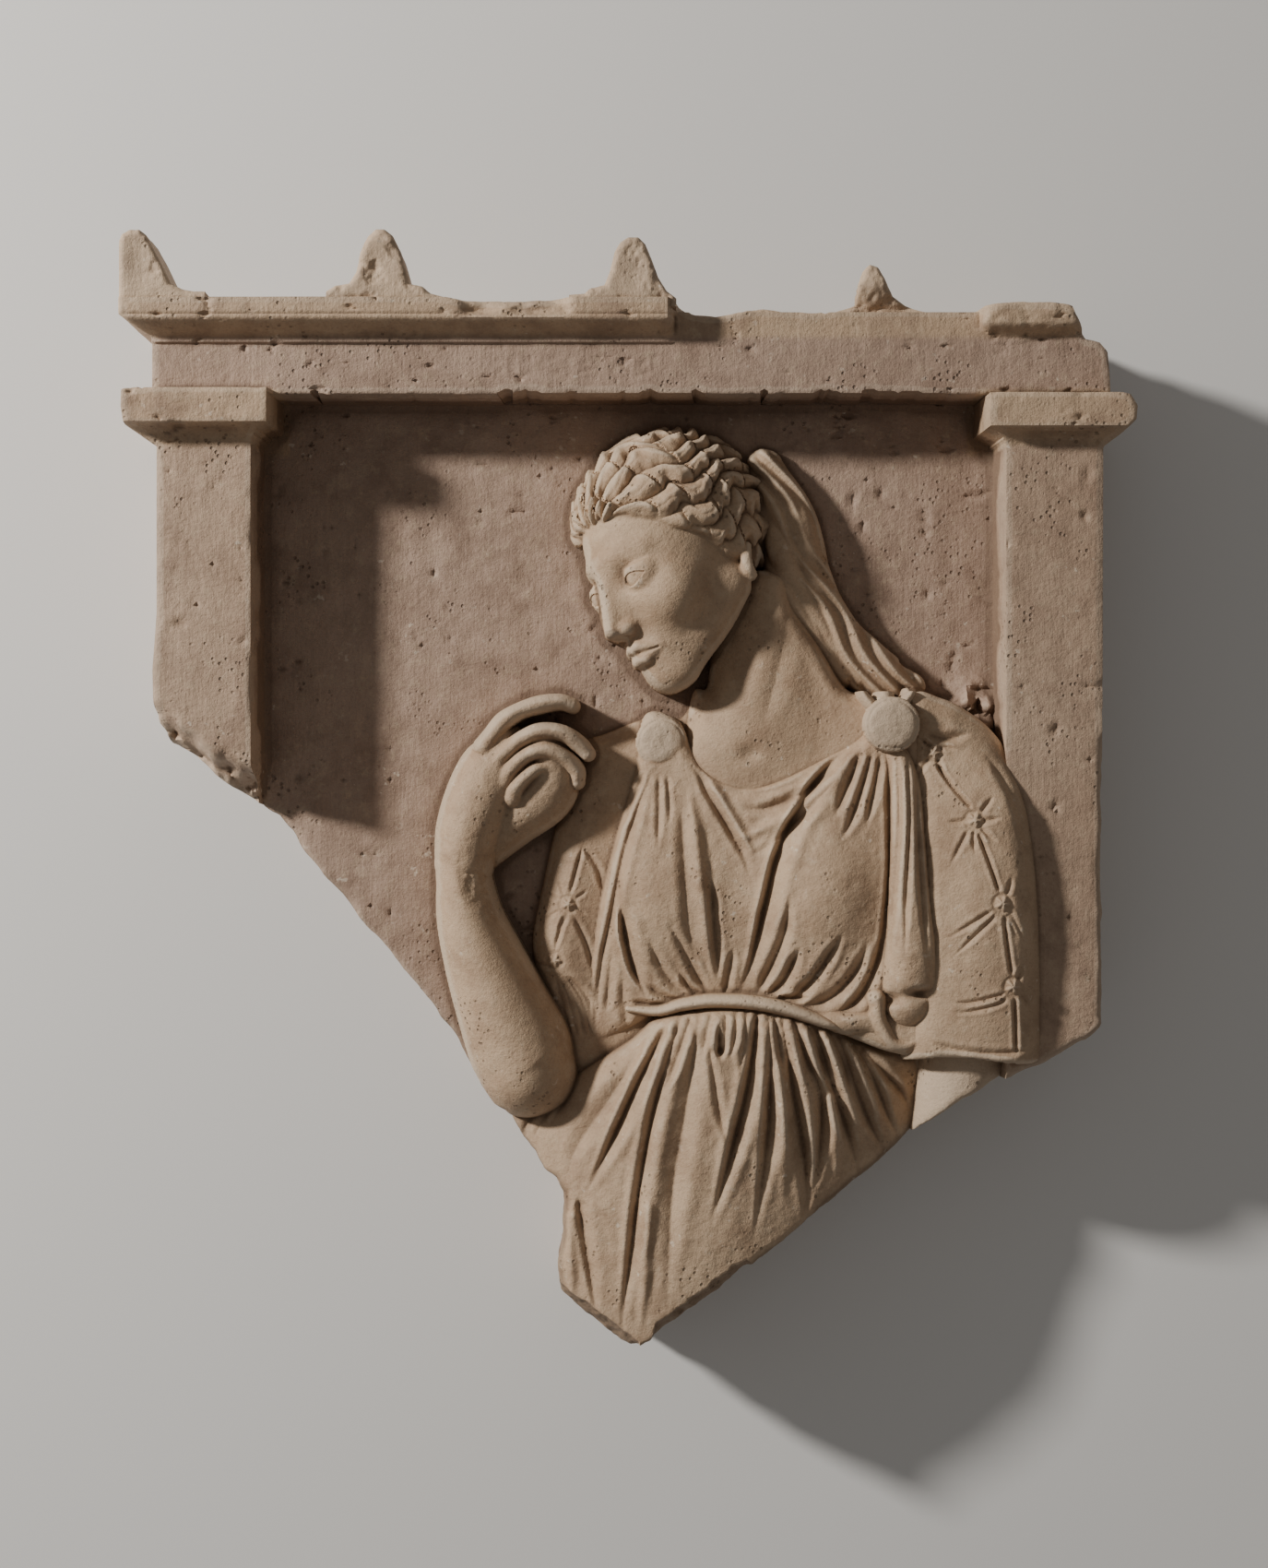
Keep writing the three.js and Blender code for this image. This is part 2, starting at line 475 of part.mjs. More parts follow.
const ball = (p, centre, radius) => Math.hypot(p[0] - centre[0], p[1] - centre[1], p[2] - centre[2]) - radius;

function rod(p, a, b, from, to) {
  const d = [0, 1, 2].map((axis) => b[axis] - a[axis]);
  const r = [0, 1, 2].map((axis) => p[axis] - a[axis]);
  const t = clamp((r[0] * d[0] + r[1] * d[1] + r[2] * d[2]) / (d[0] ** 2 + d[1] ** 2 + d[2] ** 2), 0, 1);
  return Math.hypot(...r.map((value, axis) => value - t * d[axis])) - (from + (to - from) * t);
}

function chain(p, points, radii) {
  let d = Infinity;
  for (let i = 1; i < points.length; i += 1) {
    d = Math.min(d, rod(p, points[i - 1], points[i], radii[i - 1], radii[i]));
  }
  return d;
}

function headDistance(p) {
  const q = [Math.abs(p[0]), p[1], p[2]];
  let d = egg(p, SKULL.centre, SKULL.radii);
  d = joined(d, egg(p, FACE.centre, FACE.radii), 16);
  d = joined(d, rod(q, [40, -58, -6], [10, -100, 54], 17, 16), 16);
  d = joined(d, ball(p, [0, -101, 58], 18.5), 10);
  d = joined(d, egg(p, [0, -74, 52], [27, 24, 25]), 12);
  d = joined(d, ball(q, [34, -42, 46], 23), 14);
  d = joined(d, chain(q, [[6, 2, 74], [20, 6, 73], [36, 4, 65], [49, -5, 51]], [5, 5.5, 5, 4]), 9);
  d = cutBy(d, ball(q, [EYE.x, -18, 92], 19), 9);
  return d;
}

// Cap of hair: locks run from the brow to the back of the head, above the hairline.
function hairDistance(p) {
  const turn = Math.atan2(p[1] - HAIR.axis, p[0]);
  const phase = (turn + HAIR.wave * Math.sin(p[2] / HAIR.length) * Math.cos(turn)) * HAIR.locks;
  const line = along(HAIRLINE, p[2]);
  const lock = HAIR.rise * (Math.abs(Math.sin(phase)) - 0.6) * ease(-6, 10, p[1] - line);
  return cutBy(egg(p, HAIR.centre, HAIR.radii) - lock, (p[1] - line) * 0.72, 7);
}

// Closed body around a centre, whose surface is found along rays that fan out from a pole.
function around(distance, centre, pole, sectors, rings, bunching) {
  const geometry = new THREE.SphereGeometry(1, sectors, rings);
  const turn = new THREE.Quaternion().setFromUnitVectors(new THREE.Vector3(0, 1, 0), vector(pole).normalize());
  const points = geometry.attributes.position;
  const middle = vector(centre);
  for (let i = 0; i < points.count; i += 1) {
    const ray = new THREE.Vector3().fromBufferAttribute(points, i);
    const polar = Math.PI * (Math.acos(clamp(ray.y, -1, 1)) / Math.PI) ** bunching;
    const turned = new THREE.Vector3().setFromSphericalCoords(1, polar, Math.atan2(ray.x, ray.z));
    turned.applyQuaternion(turn);
    let reach = 150;
    for (let step = 0; step < 90; step += 1) {
      const d = distance(middle.clone().addScaledVector(turned, reach).toArray());
      if (Math.abs(d) < 0.03) break;
      reach -= d * 0.7;
    }
    points.setXYZ(i, ...middle.clone().addScaledVector(turned, reach).toArray());
  }
  return geometry;
}

function head() {
  const yaw = THREE.MathUtils.degToRad(HEAD.yaw);
  const nod = THREE.MathUtils.degToRad(HEAD.nod);
  const forward = new THREE.Vector3(-Math.sin(yaw) * Math.cos(nod), -Math.sin(yaw) * Math.sin(nod), Math.cos(yaw));
  const up = new THREE.Vector3(-Math.sin(nod), Math.cos(nod), 0);
  const pose = new THREE.Matrix4().makeBasis(new THREE.Vector3().crossVectors(up, forward), up, forward);
  const nose = loft(NOSE.map(([half, y, z]) => [[half, y, z - 26], [half * 0.45, y, z], [-half * 0.45, y, z],
    [-half, y, z - 26]].map(vector)));
  const forms = [around(headDistance, [0, -26, 0], [0.18, -0.3, 1], 30, 17, 1.25),
    around(hairDistance, [0, HAIR.axis, -10], [0, 0, 1], 4 * HAIR.locks, 9, 1), nose,
    ...FEATURES.map(([centre, radii]) => new THREE.SphereGeometry(1, 8, 6).scale(...radii).translate(...centre))];
  return forms.map((geometry) => {
    geometry.applyMatrix4(pose);
    geometry.scale(HEAD.scale, HEAD.scale, HEAD.scale * HEAD.press);
    geometry.translate(HEAD.x, HEAD.y, HEAD.lift);
    return body(geometry).subtract(block([-400, -400, -400], [400, 400, SUNK]));
  });
}

// ---- one block of marble ------------------------------------------------------------------------------------
const carved = [...templeFront(), ...throat(), ...bodice(), ...skirt(), ...sleeves(), ...raisedArm(),
  ...hairFall(), ...head()];
let stone = carved.reduce((whole, piece) => whole.add(piece));
stone = letterPlace().reduce((whole, cut) => whole.subtract(cut), stone);
stone = stone.intersect(plate(OUTLINE, BACK, 120));
// Crumbs cut loose at the breaks and pores closed in between folds are left out.
stone = stone.decompose().reduce((largest, piece) => (piece.volume() > largest.volume() ? piece : largest));

function geometryOf(solid) {
  const mesh = solid.getMesh();
  const geometry = new THREE.BufferGeometry();
  geometry.setAttribute("position", new THREE.Float32BufferAttribute(Array.from(mesh.vertProperties), 3));
  geometry.setIndex(Array.from(mesh.triVerts));
  geometry.computeVertexNormals();
  geometry.computeBoundingBox();
  return geometry;
}

const marble = new THREE.MeshStandardMaterial({ color: 0xb9a08a, roughness: 0.8, metalness: 0 });
const geometry = geometryOf(stone);
// The frame's origin is the middle of the flat back.
const box = geometry.boundingBox;
geometry.translate(-(box.min.x + box.max.x) / 2, -(box.min.y + box.max.y) / 2, -box.min.z);
const stele = new THREE.Mesh(geometry, marble);
stele.name = "stele";

const part = new THREE.Group();
part.name = "grave_stele";
part.add(stele);
export default part;
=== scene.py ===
"""Marble grave stele, dressed: one block carved in relief, lying on its back on a pale studio floor.

Laid out as an add-on and run as a script. Every surface is worked out with numpy as a height over the plan: the
block is a height field with walls, and each part of the figure is a column of stone under a surface of its own.
Plan coordinates and heights are in millimetres, x to the right of the relief, y to its top and z out of it, with
z = 0 on the ground of the relief. Meshes are written in metres in the frame of the CAD part.
"""
import math

import bpy
import numpy as np
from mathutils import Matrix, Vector
from mathutils.geometry import tessellate_polygon


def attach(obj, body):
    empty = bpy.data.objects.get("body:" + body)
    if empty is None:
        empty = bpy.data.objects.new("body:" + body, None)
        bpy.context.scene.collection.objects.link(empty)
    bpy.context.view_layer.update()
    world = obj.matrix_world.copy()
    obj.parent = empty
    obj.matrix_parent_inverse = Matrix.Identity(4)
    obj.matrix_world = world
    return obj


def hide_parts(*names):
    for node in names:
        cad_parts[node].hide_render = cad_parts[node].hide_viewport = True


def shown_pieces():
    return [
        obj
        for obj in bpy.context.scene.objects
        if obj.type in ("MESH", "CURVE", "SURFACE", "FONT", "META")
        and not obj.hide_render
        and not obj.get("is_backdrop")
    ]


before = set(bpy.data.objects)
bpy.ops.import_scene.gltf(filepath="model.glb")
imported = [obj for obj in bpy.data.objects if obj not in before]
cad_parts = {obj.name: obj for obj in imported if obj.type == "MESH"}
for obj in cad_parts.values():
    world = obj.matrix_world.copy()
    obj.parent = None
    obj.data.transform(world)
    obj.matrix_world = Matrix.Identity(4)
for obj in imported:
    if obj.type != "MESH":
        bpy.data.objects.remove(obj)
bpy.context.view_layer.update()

bl_info = {
    "name": "Grave stele",
    "version": (1, 0, 0),
    "blender": (4, 5, 0),
    "location": "View3D > Sidebar > Stele",
    "description": "Builds the visible meshes, the stone and the studio of a carved grave stele",
    "category": "Object",
}

NODE = "stele"
BODY = "root"
MM = 0.001
BACK = -62.0          # flat back of the block
SUNK = -14.0          # carved pieces start this deep inside the block
BURIED = -30.0        # height that stands for "no stone here"
BREAK_TOP = 60.0      # below this the outline is a break, apart from the right side
BREAK_ROUND = 5.0     # wear of the figure's edges along the break
MARCH_TOP, MARCH_STEPS, MARCH_SHARE, MARCH_NEAR = 96.0, 70, 0.85, 0.05    # marching down on to the head

# ---- outline of the block and its front ---------------------------------------------------------------
OUTLINE = np.array([
    (-361, 340), (-361, 392), (-359, 397), (-354, 400.5), (-347, 400.5), (-342, 397), (-336, 386),
    (-330, 374), (-324, 362), (-316, 358), (-308, 356.5), (-214, 356.5), (-207, 361), (-198, 362),
    (-193, 370), (-190, 384), (-185, 396), (-179, 400.5), (-173, 400.5), (-167, 396), (-161, 384),
    (-157, 370), (-155, 362), (-146, 360), (-140, 355), (-128, 352), (-118, 350), (-100, 351), (-80, 350),
    (-60, 351), (-44, 354), (-31, 355), (-27, 359), (-17, 361), (-13, 371), (-10, 384), (-6, 391),
    (0, 395), (7, 395), (12, 390), (17, 378), (21, 367), (27, 357), (36, 350), (46, 343), (62, 342),
    (78, 345), (84, 348), (98, 350), (110, 348), (128, 344.5), (146, 346), (163, 352), (165, 366),
    (168, 375), (173, 380), (179, 378), (184, 369), (190, 358), (200, 352), (212, 347), (236, 347),
    (262, 349), (280, 351), (300, 350), (315, 348), (321, 338), (327, 326), (337, 324), (343, 317),
    (344.5, 300), (345, 287), (356, 284), (361, 276), (360, 266), (352, 258), (340, 249), (339.5, 40),
    (338.5, -165), (328, -176), (316, -182), (300, -192), (284, -198), (262, -208), (244, -218),
    (230, -228), (216, -238), (198, -254), (184, -268), (168, -279), (150, -293), (130, -306),
    (114, -319), (100, -331), (84, -343), (68, -357), (50, -369), (34, -381), (18, -392), (8, -397),
    (2, -401), (-6, -400.5), (-12, -396), (-20, -389), (-38, -374), (-50, -362), (-52, -342), (-49, -322),
    (-48, -300), (-49, -288), (-53, -279), (-62, -273), (-69, -260), (-77, -251), (-82, -242),
    (-90, -231), (-98, -226), (-108, -213), (-117, -198), (-127, -178), (-138, -165), (-149, -149),
    (-160, -135), (-180, -111), (-194, -96), (-208, -78), (-225, -59), (-240, -40), (-248, -27),
    (-259, -15), (-270, -7), (-283, 1), (-296, 11), (-308, 21), (-320, 31), (-332, 38), (-335, 46),
    (-340, 53), (-341, 90), (-338, 130), (-338, 250), (-349, 257), (-358, 263), (-360, 275),
    (-359.5, 288), (-341, 290), (-341, 327), (-352, 334)], float)
PILASTER_INNER, PILASTER_FACE = 269.5, 56.0
EPISTYLE = (286.0, 325.5, 57.0)                 # bottom, top, face
CAPITAL = (250.0, 264.0, 289.5, 20.0)           # bottom, foot of the fascia, top, reach
CORNICE = (325.5, 340.0, 22.0)                  # bottom, foot of the fascia, reach
STROKES = (-98.0, 25.0, 299.0, 314.0, 12)       # left, right, bottom, top, strokes in the row

# ---- the woman ----------------------------------------------------------------------------------------
FAR_SLEEVE = [(52, 62), (38, 56), (24, 59), (4, 53), (-16, 45), (-34, 38), (-44, 18), (-52, -15),
              (-62, -62), (-70, -100), (-70, -122), (-64, -150), (-58, -178), (-56, -205), (-20, -215),
              (30, -180), (70, -100), (80, 0)]
BODICE = [(12, 58), (36, 54), (48, 30), (62, 14), (86, 6), (110, 12), (140, 26), (166, 42), (182, 64),
          (206, 62), (214, 20), (222, -60), (230, -140), (222, -186), (190, -186), (150, -172),
          (100, -158), (60, -152), (26, -158), (-6, -176), (-38, -190), (-36, -160), (-27, -100),
          (-10, -30), (4, 16)]
SLEEVE = [(196, 60), (208, 74), (224, 70), (240, 63), (262, 46), (279, 20), (289, -15), (295, -60),
          (298, -110), (299, -150), (299, -205), (298, -260), (200, -260), (198, -200), (200, -100)]
SKIRT = [(22, -160), (40, -154), (70, -150), (110, -152), (145, -162), (172, -180), (206, -184),
         (214, -200), (214, -250), (150, -330), (0, -430), (-75, -390), (-70, -290), (-100, -245),
         (-60, -230), (-42, -208), (-20, -192), (2, -178)]
SKIN = [(48, 76), (42, 52), (34, 24), (60, 0), (90, -10), (140, 0), (185, 35), (196, 60), (176, 72),
        (158, 78), (140, 108), (122, 136), (112, 160), (84, 160), (62, 120), (58, 80)]
# Folds: points, half width, depth (a ridge where negative) and how much one side is the wider.
BODICE_FOLDS = [
    ([(164, 38), (142, 18), (122, -12), (108, -42), (98, -82), (89, -120), (80, -146)], 4.2, 9.0, 0.35),
    ([(12, 18), (2, -6), (-8, -30)], 2.4, 3.6, 0.0),
    ([(17, 17), (6, -12), (-4, -45), (-13, -90), (-20, -125), (-26, -178)], 2.8, 4.2, 0.2),
    ([(-6, -78), (-2, -105), (4, -128), (14, -146)], 3.6, 7.0, 0.4),
    ([(22, 16), (22, -10), (21, -40)], 2.0, 2.2, 0.0),
    ([(28, 16), (30, -10), (29, -22)], 1.8, 1.6, 0.0),
    ([(44, 4), (50, -40), (55, -90), (63, -143)], 4.2, -3.0, 0.0),
    ([(38, -6), (40, -50), (44, -100), (56, -143)], 3.6, 2.2, 0.0),
    ([(60, -60), (62, -96), (66, -138)], 3.0, 3.0, 0.0),
    ([(42, 26), (56, 15), (72, 7), (90, 4), (112, 9), (140, 26), (170, 46)], 2.4, -2.6, 0.0),
    ([(172, 42), (150, 20), (124, 0), (98, -10), (78, -10)], 3.8, 4.2, 0.1),
    ([(168, 38), (142, 10), (114, -14), (90, -28), (74, -32)], 4.6, -3.4, 0.0),
    ([(150, 12), (126, -14), (104, -34), (86, -46)], 3.4, 2.6, 0.1),
    ([(48, 20), (58, 0), (70, -20), (82, -42), (88, -60)], 3.0, 3.2, 0.2),
    ([(53, 20), (65, 0), (78, -22), (92, -46)], 3.0, -2.4, 0.0),
    ([(168, 34), (158, 8), (147, -18)], 3.0, 4.0, 0.0),
    ([(175, 31), (168, 6), (158, -22), (150, -34)], 2.8, 4.2, 0.0),
    ([(181, 30), (177, 8), (170, -24)], 2.8, 3.6, 0.0),
    ([(186, 30), (187, -20), (187, -60), (181, -110), (172, -140)], 3.0, 3.5, 0.3),
    ([(193, 30), (194, -10), (194, -60)], 2.4, 3.6, 0.0),
    ([(199, 30), (200, -10), (200, -50)], 2.4, 3.0, 0.0),
    ([(100, -146), (112, -134), (124, -108)], 3.2, 5.0, 0.0),
    ([(92, -146), (102, -126), (112, -100), (116, -70)], 3.2, 4.0, 0.0),
    ([(116, -150), (132, -134), (146, -112), (154, -98)], 3.4, 5.5, 0.0),
    ([(126, -154), (146, -146), (164, -126), (172, -104)], 3.6, 4.5, 0.0),
    ([(150, -158), (166, -146), (178, -120), (182, -96)], 3.4, 5.0, 0.0),
    ([(106, -148), (118, -147), (132, -146)], 2.2, 4.0, 0.0),
    ([(70, -146), (72, -132), (76, -110)], 2.8, 3.0, 0.0),
    ([(60, -146), (50, -132), (38, -108), (28, -92)], 3.0, 3.2, 0.0),
    ([(54, -147), (44, -140), (36, -128)], 2.4, 3.8, 0.0),
    ([(46, -149), (28, -132), (14, -104)], 3.0, 3.0, 0.0),
    ([(40, -152), (24, -146), (10, -136)], 2.4, 3.4, 0.0),
    ([(-16, -160), (-14, -130), (-10, -104)], 3.2, 2.6, 0.0),
    ([(30, -154), (14, -153), (0, -150)], 2.4, 3.0, 0.0),
    ([(0, -170), (-4, -150), (-4, -130)], 3.0, 2.2, 0.0)]
SKIRT_FOLDS = [
    ([(28, -166), (8, -206), (-12, -250), (-31, -289)], 4.0, 8.0, 0.2),
    ([(38, -160), (20, -220), (9, -276), (2, -326), (-6, -392)], 4.2, 8.5, 0.2),
    ([(45, -160), (34, -192), (24, -217)], 3.0, 4.5, 0.0),
    ([(51, -158), (40, -232), (31, -289), (28, -370)], 6.5, 5.0, 0.0),
    ([(58, -180), (65, -226), (72, -256)], 2.6, 2.4, 0.0),
    ([(93, -156), (86, -208), (74, -256), (59, -309)], 4.4, 9.0, 0.2),
    ([(101, -156), (102, -216), (98, -263), (90, -318)], 4.2, 6.5, 0.2),
    ([(110, -158), (118, -210), (127, -262), (129, -312)], 4.6, 8.0, -0.2),
    ([(118, -160), (128, -190), (139, -217), (138, -262), (130, -296)], 4.0, 6.5, 0.0),
    ([(128, -162), (138, -188), (146, -216)], 2.8, 4.0, 0.0),
    ([(134, -164), (147, -210), (160, -248), (168, -280)], 3.8, 7.0, 0.0),
    ([(144, -168), (156, -196), (162, -222)], 2.6, 4.0, 0.0),
    ([(151, -170), (164, -210), (176, -240), (190, -266)], 3.8, 6.5, 0.0),
    ([(160, -176), (176, -202), (190, -236), (200, -256)], 3.0, 5.0, 0.0),
    ([(168, -182), (184, -200), (198, -216), (208, -234)], 3.0, 5.0, 0.0),
    ([(70, -158), (69, -176), (66, -192)], 2.6, 3.4, 0.0), ([(78, -156), (76, -176), (72, -190)], 2.4, 3.2, 0.0),
    ([(85, -156), (83, -180), (79, -204)], 2.6, 4.0, 0.0), ([(60, -158), (56, -172), (53, -190)], 2.6, 3.4, 0.0),
    ([(105, -158), (109, -184), (112, -206)], 2.4, 3.4, 0.0),
    ([(146, -214), (150, -240), (150, -280)], 4.0, -3.0, 0.0),
    ([(106, -190), (112, -240), (110, -300)], 5.0, -2.4, 0.0),
    ([(28, -190), (16, -250), (6, -300), (-6, -360)], 5.0, -2.6, 0.0),
    ([(10, -182), (-14, -220), (-38, -256), (-46, -285)], 5.5, 3.2, 0.0),
    ([(-36, -292), (-30, -330), (-22, -378)], 3.4, 4.0, 0.3),
    ([(-42, -300), (-42, -330), (-40, -368)], 4.0, -2.6, 0.0),
    ([(14, -290), (12, -340), (8, -388)], 4.0, -2.6, 0.0)]
SIDE_FOLDS = [
    [(-50, -216, 24, 8, 18), (-56, -245, 24, 9, 18), (-58, -280, 23, 9, 18)],
    [(-62, -228, 21, 8, 16), (-69, -252, 20, 8, 16), (-70, -282, 18, 8, 14)],
    [(-76, -232, 18, 8, 14), (-84, -255, 17, 8, 12)]]
POUCH = [(190, 38, 60, 9, 16), (198, 10, 67, 11, 18), (200, -30, 71, 13, 20), (201, -70, 73, 15.5, 22),
         (203, -105, 74, 19.5, 24), (203, -132, 72, 22, 24), (202, -148, 66, 21, 22)]
POUCH_END = [(138, -161, 50, 7, 16), (156, -163, 55, 11, 20), (174, -163, 56, 12, 22), (188, -170, 55, 11, 22)]
POUCH_LOOP = [(178, -146, 62, 8, 18), (180, -162, 60, 7.5, 18), (189, -177, 58, 7, 18), (202, -179, 57, 7, 18),
              (212, -168, 56, 7, 16), (215, -152, 58, 7, 16)]
ELBOW = [(246, -160, 50, 30, 30), (244, -200, 50, 32, 34), (238, -250, 48, 32, 34)]
BELT = [(0, -156, 30, 3.0, 10), (22, -157, 39, 4.2, 12), (40, -152, 46, 5.0, 14), (62, -149, 50, 5.4, 14),
        (90, -150, 54, 5.6, 14), (116, -155, 56, 5.4, 14), (142, -164, 56, 4.4, 12), (152, -168, 52, 2, 8)]
BROOCHES = [(24, 38, 18.5, 30.5), (188, 50, 20, 71)]
TUFTS = [[(176, 62, 60, 5, 14), (169, 71, 58, 4, 14), (166, 80, 54, 2.6, 14)],
         [(196, 64, 60, 5, 14), (203, 73, 57, 3.6, 14), (205, 81, 53, 2.4, 14)],
         [(184, 68, 58, 8, 16), (186, 78, 50, 6, 14)]]
NECK = [(112, 156, 30, 24, 34), (106, 122, 38, 31, 38), (104, 95, 42, 38, 36), (104, 68, 42, 48, 30),
        (102, 38, 40, 56, 24), (104, 6, 34, 60, 18)]
FOREARM = [(-121, -42, 50, 21, 36), (-120, -62, 50, 21, 38), (-116, -90, 52, 25, 42), (-106, -120, 55, 30, 46),
           (-93, -152, 58, 35, 50), (-80, -182, 59, 39, 52), (-74, -200, 57, 37, 50)]
ELBOW_POINT = [(-72, -196, 56, 34, 48), (-64, -206, 48, 28, 42)]
HAND_BACK = [(-120, -50, 50, 22, 36), (-116, -26, 50, 25, 34), (-106, 0, 49, 27, 32), (-96, 22, 47, 25, 30),
             (-90, 36, 44, 17, 26)]
PALM = [(-104, -44, 28, 12, 24), (-84, -18, 38, 21, 26), (-62, 4, 44, 25, 26), (-56, 22, 47, 20, 26),
        (-62, 35, 48, 16, 26)]
FINGERS = [
    [(-104, 34, 46, 9, 16), (-98, 43, 47, 7.6, 14), (-90, 53, 48, 7.4, 13), (-78, 60.5, 48, 6.5, 13),
     (-64, 65, 47, 6.8, 12), (-50, 67, 45, 6.0, 12), (-41, 64.5, 42, 5.8, 11)],
    [(-96, 22, 47, 9, 16), (-90, 29, 49, 7.6, 14), (-78, 39, 51, 6.8, 14), (-64, 45, 52, 6.9, 13),
     (-48, 44, 51, 6.5, 13), (-36, 36.5, 48, 6.6, 12), (-29.5, 29.5, 45, 5.8, 11)],
    [(-90, 10, 47, 9, 16), (-85, 18, 50, 7.6, 14), (-73, 28.5, 52, 6.8, 14), (-60, 32, 53, 7.0, 13),
     (-47, 27, 51, 6.4, 13), (-38, 18, 47, 6.4, 12), (-37, 9, 42, 5.6, 11)],
    [(-84, -2, 46, 9, 16), (-81, 5, 49, 7, 14), (-73, 13.5, 51, 6.2, 13), (-65, 18.5, 50, 5.8, 12),
     (-57, 17, 46, 5.4, 11), (-55, 10, 41, 5, 10)]]
NEAR_BUTTONS = [(218, 30), (246, -18), (265, -77), (273, -136)]
FAR_BUTTONS = [(-44, -80), (-54, -121)]
HAIR_FALL = [
    [(100, 240, 6, 8, 14), (121, 202, 24, 11, 14), (132, 160, 23, 11, 14), (150, 120, 21, 10, 14),
     (182, 84, 19, 9, 14)],
    [(96, 222, 6, 8, 14), (113, 182, 27, 11, 14), (124, 150, 27, 11, 14), (142, 116, 25, 10, 14),
     (170, 84, 22, 9, 14)],
    [(110, 232, 4, 8, 14), (128, 190, 19, 11, 14), (140, 150, 18, 11, 14), (160, 116, 16, 10, 14),
     (196, 84, 14, 9, 14)],
    [(102, 184, 10, 8, 14), (116, 150, 28, 9, 14), (132, 118, 26, 9, 14), (156, 86, 24, 9, 14)]]
HAIR_BED = [(100, 240, 18, 14, 14), (116, 200, 24, 22, 18), (130, 150, 24, 22, 18), (152, 112, 24, 22, 18),
            (186, 84, 24, 20, 16), (206, 78, 18, 12, 12)]

# ---- head: its own frame has x to the woman's left, y up the head, z forward --------------------------
HEAD_AT, HEAD_LIFT, HEAD_SCALE, HEAD_PRESS = (28.5, 187.0), 14.0, 0.895, 0.95
HEAD_YAW, HEAD_NOD = math.radians(55), math.radians(26)
HAIRLINE = ([-95, -40, -8, 12, 34, 55, 78], [-86, -66, -40, -16, 6, 26, 46])


# ---- numpy helpers ------------------------------------------------------------------------------------
def smooth_max(a, b, width):
    """Larger of two heights, blended over a width w: b + (a - b) h + w h (1 - h), h going from 0 to 1."""
    h = np.clip(0.5 + 0.5 * (a - b) / width, 0, 1)
    return b + (a - b) * h + width * h * (1 - h)


def smooth_min(a, b, width):
    """Smaller of two values, blended over a width."""
    return -smooth_max(-a, -b, width)


def ease(low, high, x):
    """Cubic step from 0 to 1: 3 t^2 - 2 t^3 between two limits."""
    t = np.clip((x - low) / (high - low), 0, 1)
    return t * t * (3 - 2 * t)


def spline(points, steps=10, closed=False):
    """Catmull-Rom curve through rows of any number of columns."""
    p = np.asarray(points, float)
    p = np.vstack([p[-1], p, p[0], p[1]]) if closed else np.vstack([2 * p[0] - p[1], p, 2 * p[-1] - p[-2]])
    t = np.linspace(0, 1, steps, endpoint=False)[:, None]
    spans = []
    for a, b, c, d in zip(p[:-3], p[1:-2], p[2:-1], p[3:]):
        spans.append(0.5 * (2 * b + (c - a) * t + (2 * a - 5 * b + 4 * c - d) * t ** 2
                            + (3 * b - a - 3 * c + d) * t ** 3))
    return np.vstack(spans if closed else spans + [p[-2:-1]])


def lengths(path):
    """Share of the whole length at each row of a path."""
    steps = np.hypot(*np.diff(path[:, :2], axis=0).T)
    return np.concatenate([[0], np.cumsum(steps)]) / steps.sum()


def nearest(x, y, path):
    """Signed plan distance to a path, positive on its left, and the share of its length at the nearest point."""
    best, side, share = np.full(x.shape, 1e9), np.ones(x.shape), np.zeros(x.shape)
    at = lengths(path)
    for i, (a, b) in enumerate(zip(path[:-1, :2], path[1:, :2])):
        d = b - a
        s = np.clip(((x - a[0]) * d[0] + (y - a[1]) * d[1]) / (d @ d + 1e-12), 0, 1)
        ex, ey = x - a[0] - s * d[0], y - a[1] - s * d[1]
        gap = ex * ex + ey * ey
        closer = gap < best
        best = np.where(closer, gap, best)
        side = np.where(closer, np.where(d[0] * ey - d[1] * ex < 0, -1.0, 1.0), side)
        share = np.where(closer, at[i] + s * (at[i + 1] - at[i]), share)
    return np.sqrt(best) * side, share


def close_to(x, y, path, pad):
    """Points within the box of a path and a margin."""
    low, high = path[:, :2].min(axis=0) - pad, path[:, :2].max(axis=0) + pad
    return (x > low[0]) & (x < high[0]) & (y > low[1]) & (y < high[1])


def limb(x, y, rows, steps=10):
    """Rounded run: crest - b + b sqrt(1 - (d / w)^2), d from the path of rows (x, y, crest, w, b)."""
    path, out = spline(rows, steps), np.full(x.shape, BURIED)
    near = close_to(x, y, path, path[:, 3].max() + 1)
    d, share = nearest(x[near], y[near], path)
    crest, half, thick = (np.interp(share, lengths(path), path[:, k]) for k in (2, 3, 4))
    q = 1 - (d / half) ** 2
    out[near] = np.where(q > 0, crest - thick + thick * np.sqrt(np.clip(q, 0, 1)), BURIED)
    return out


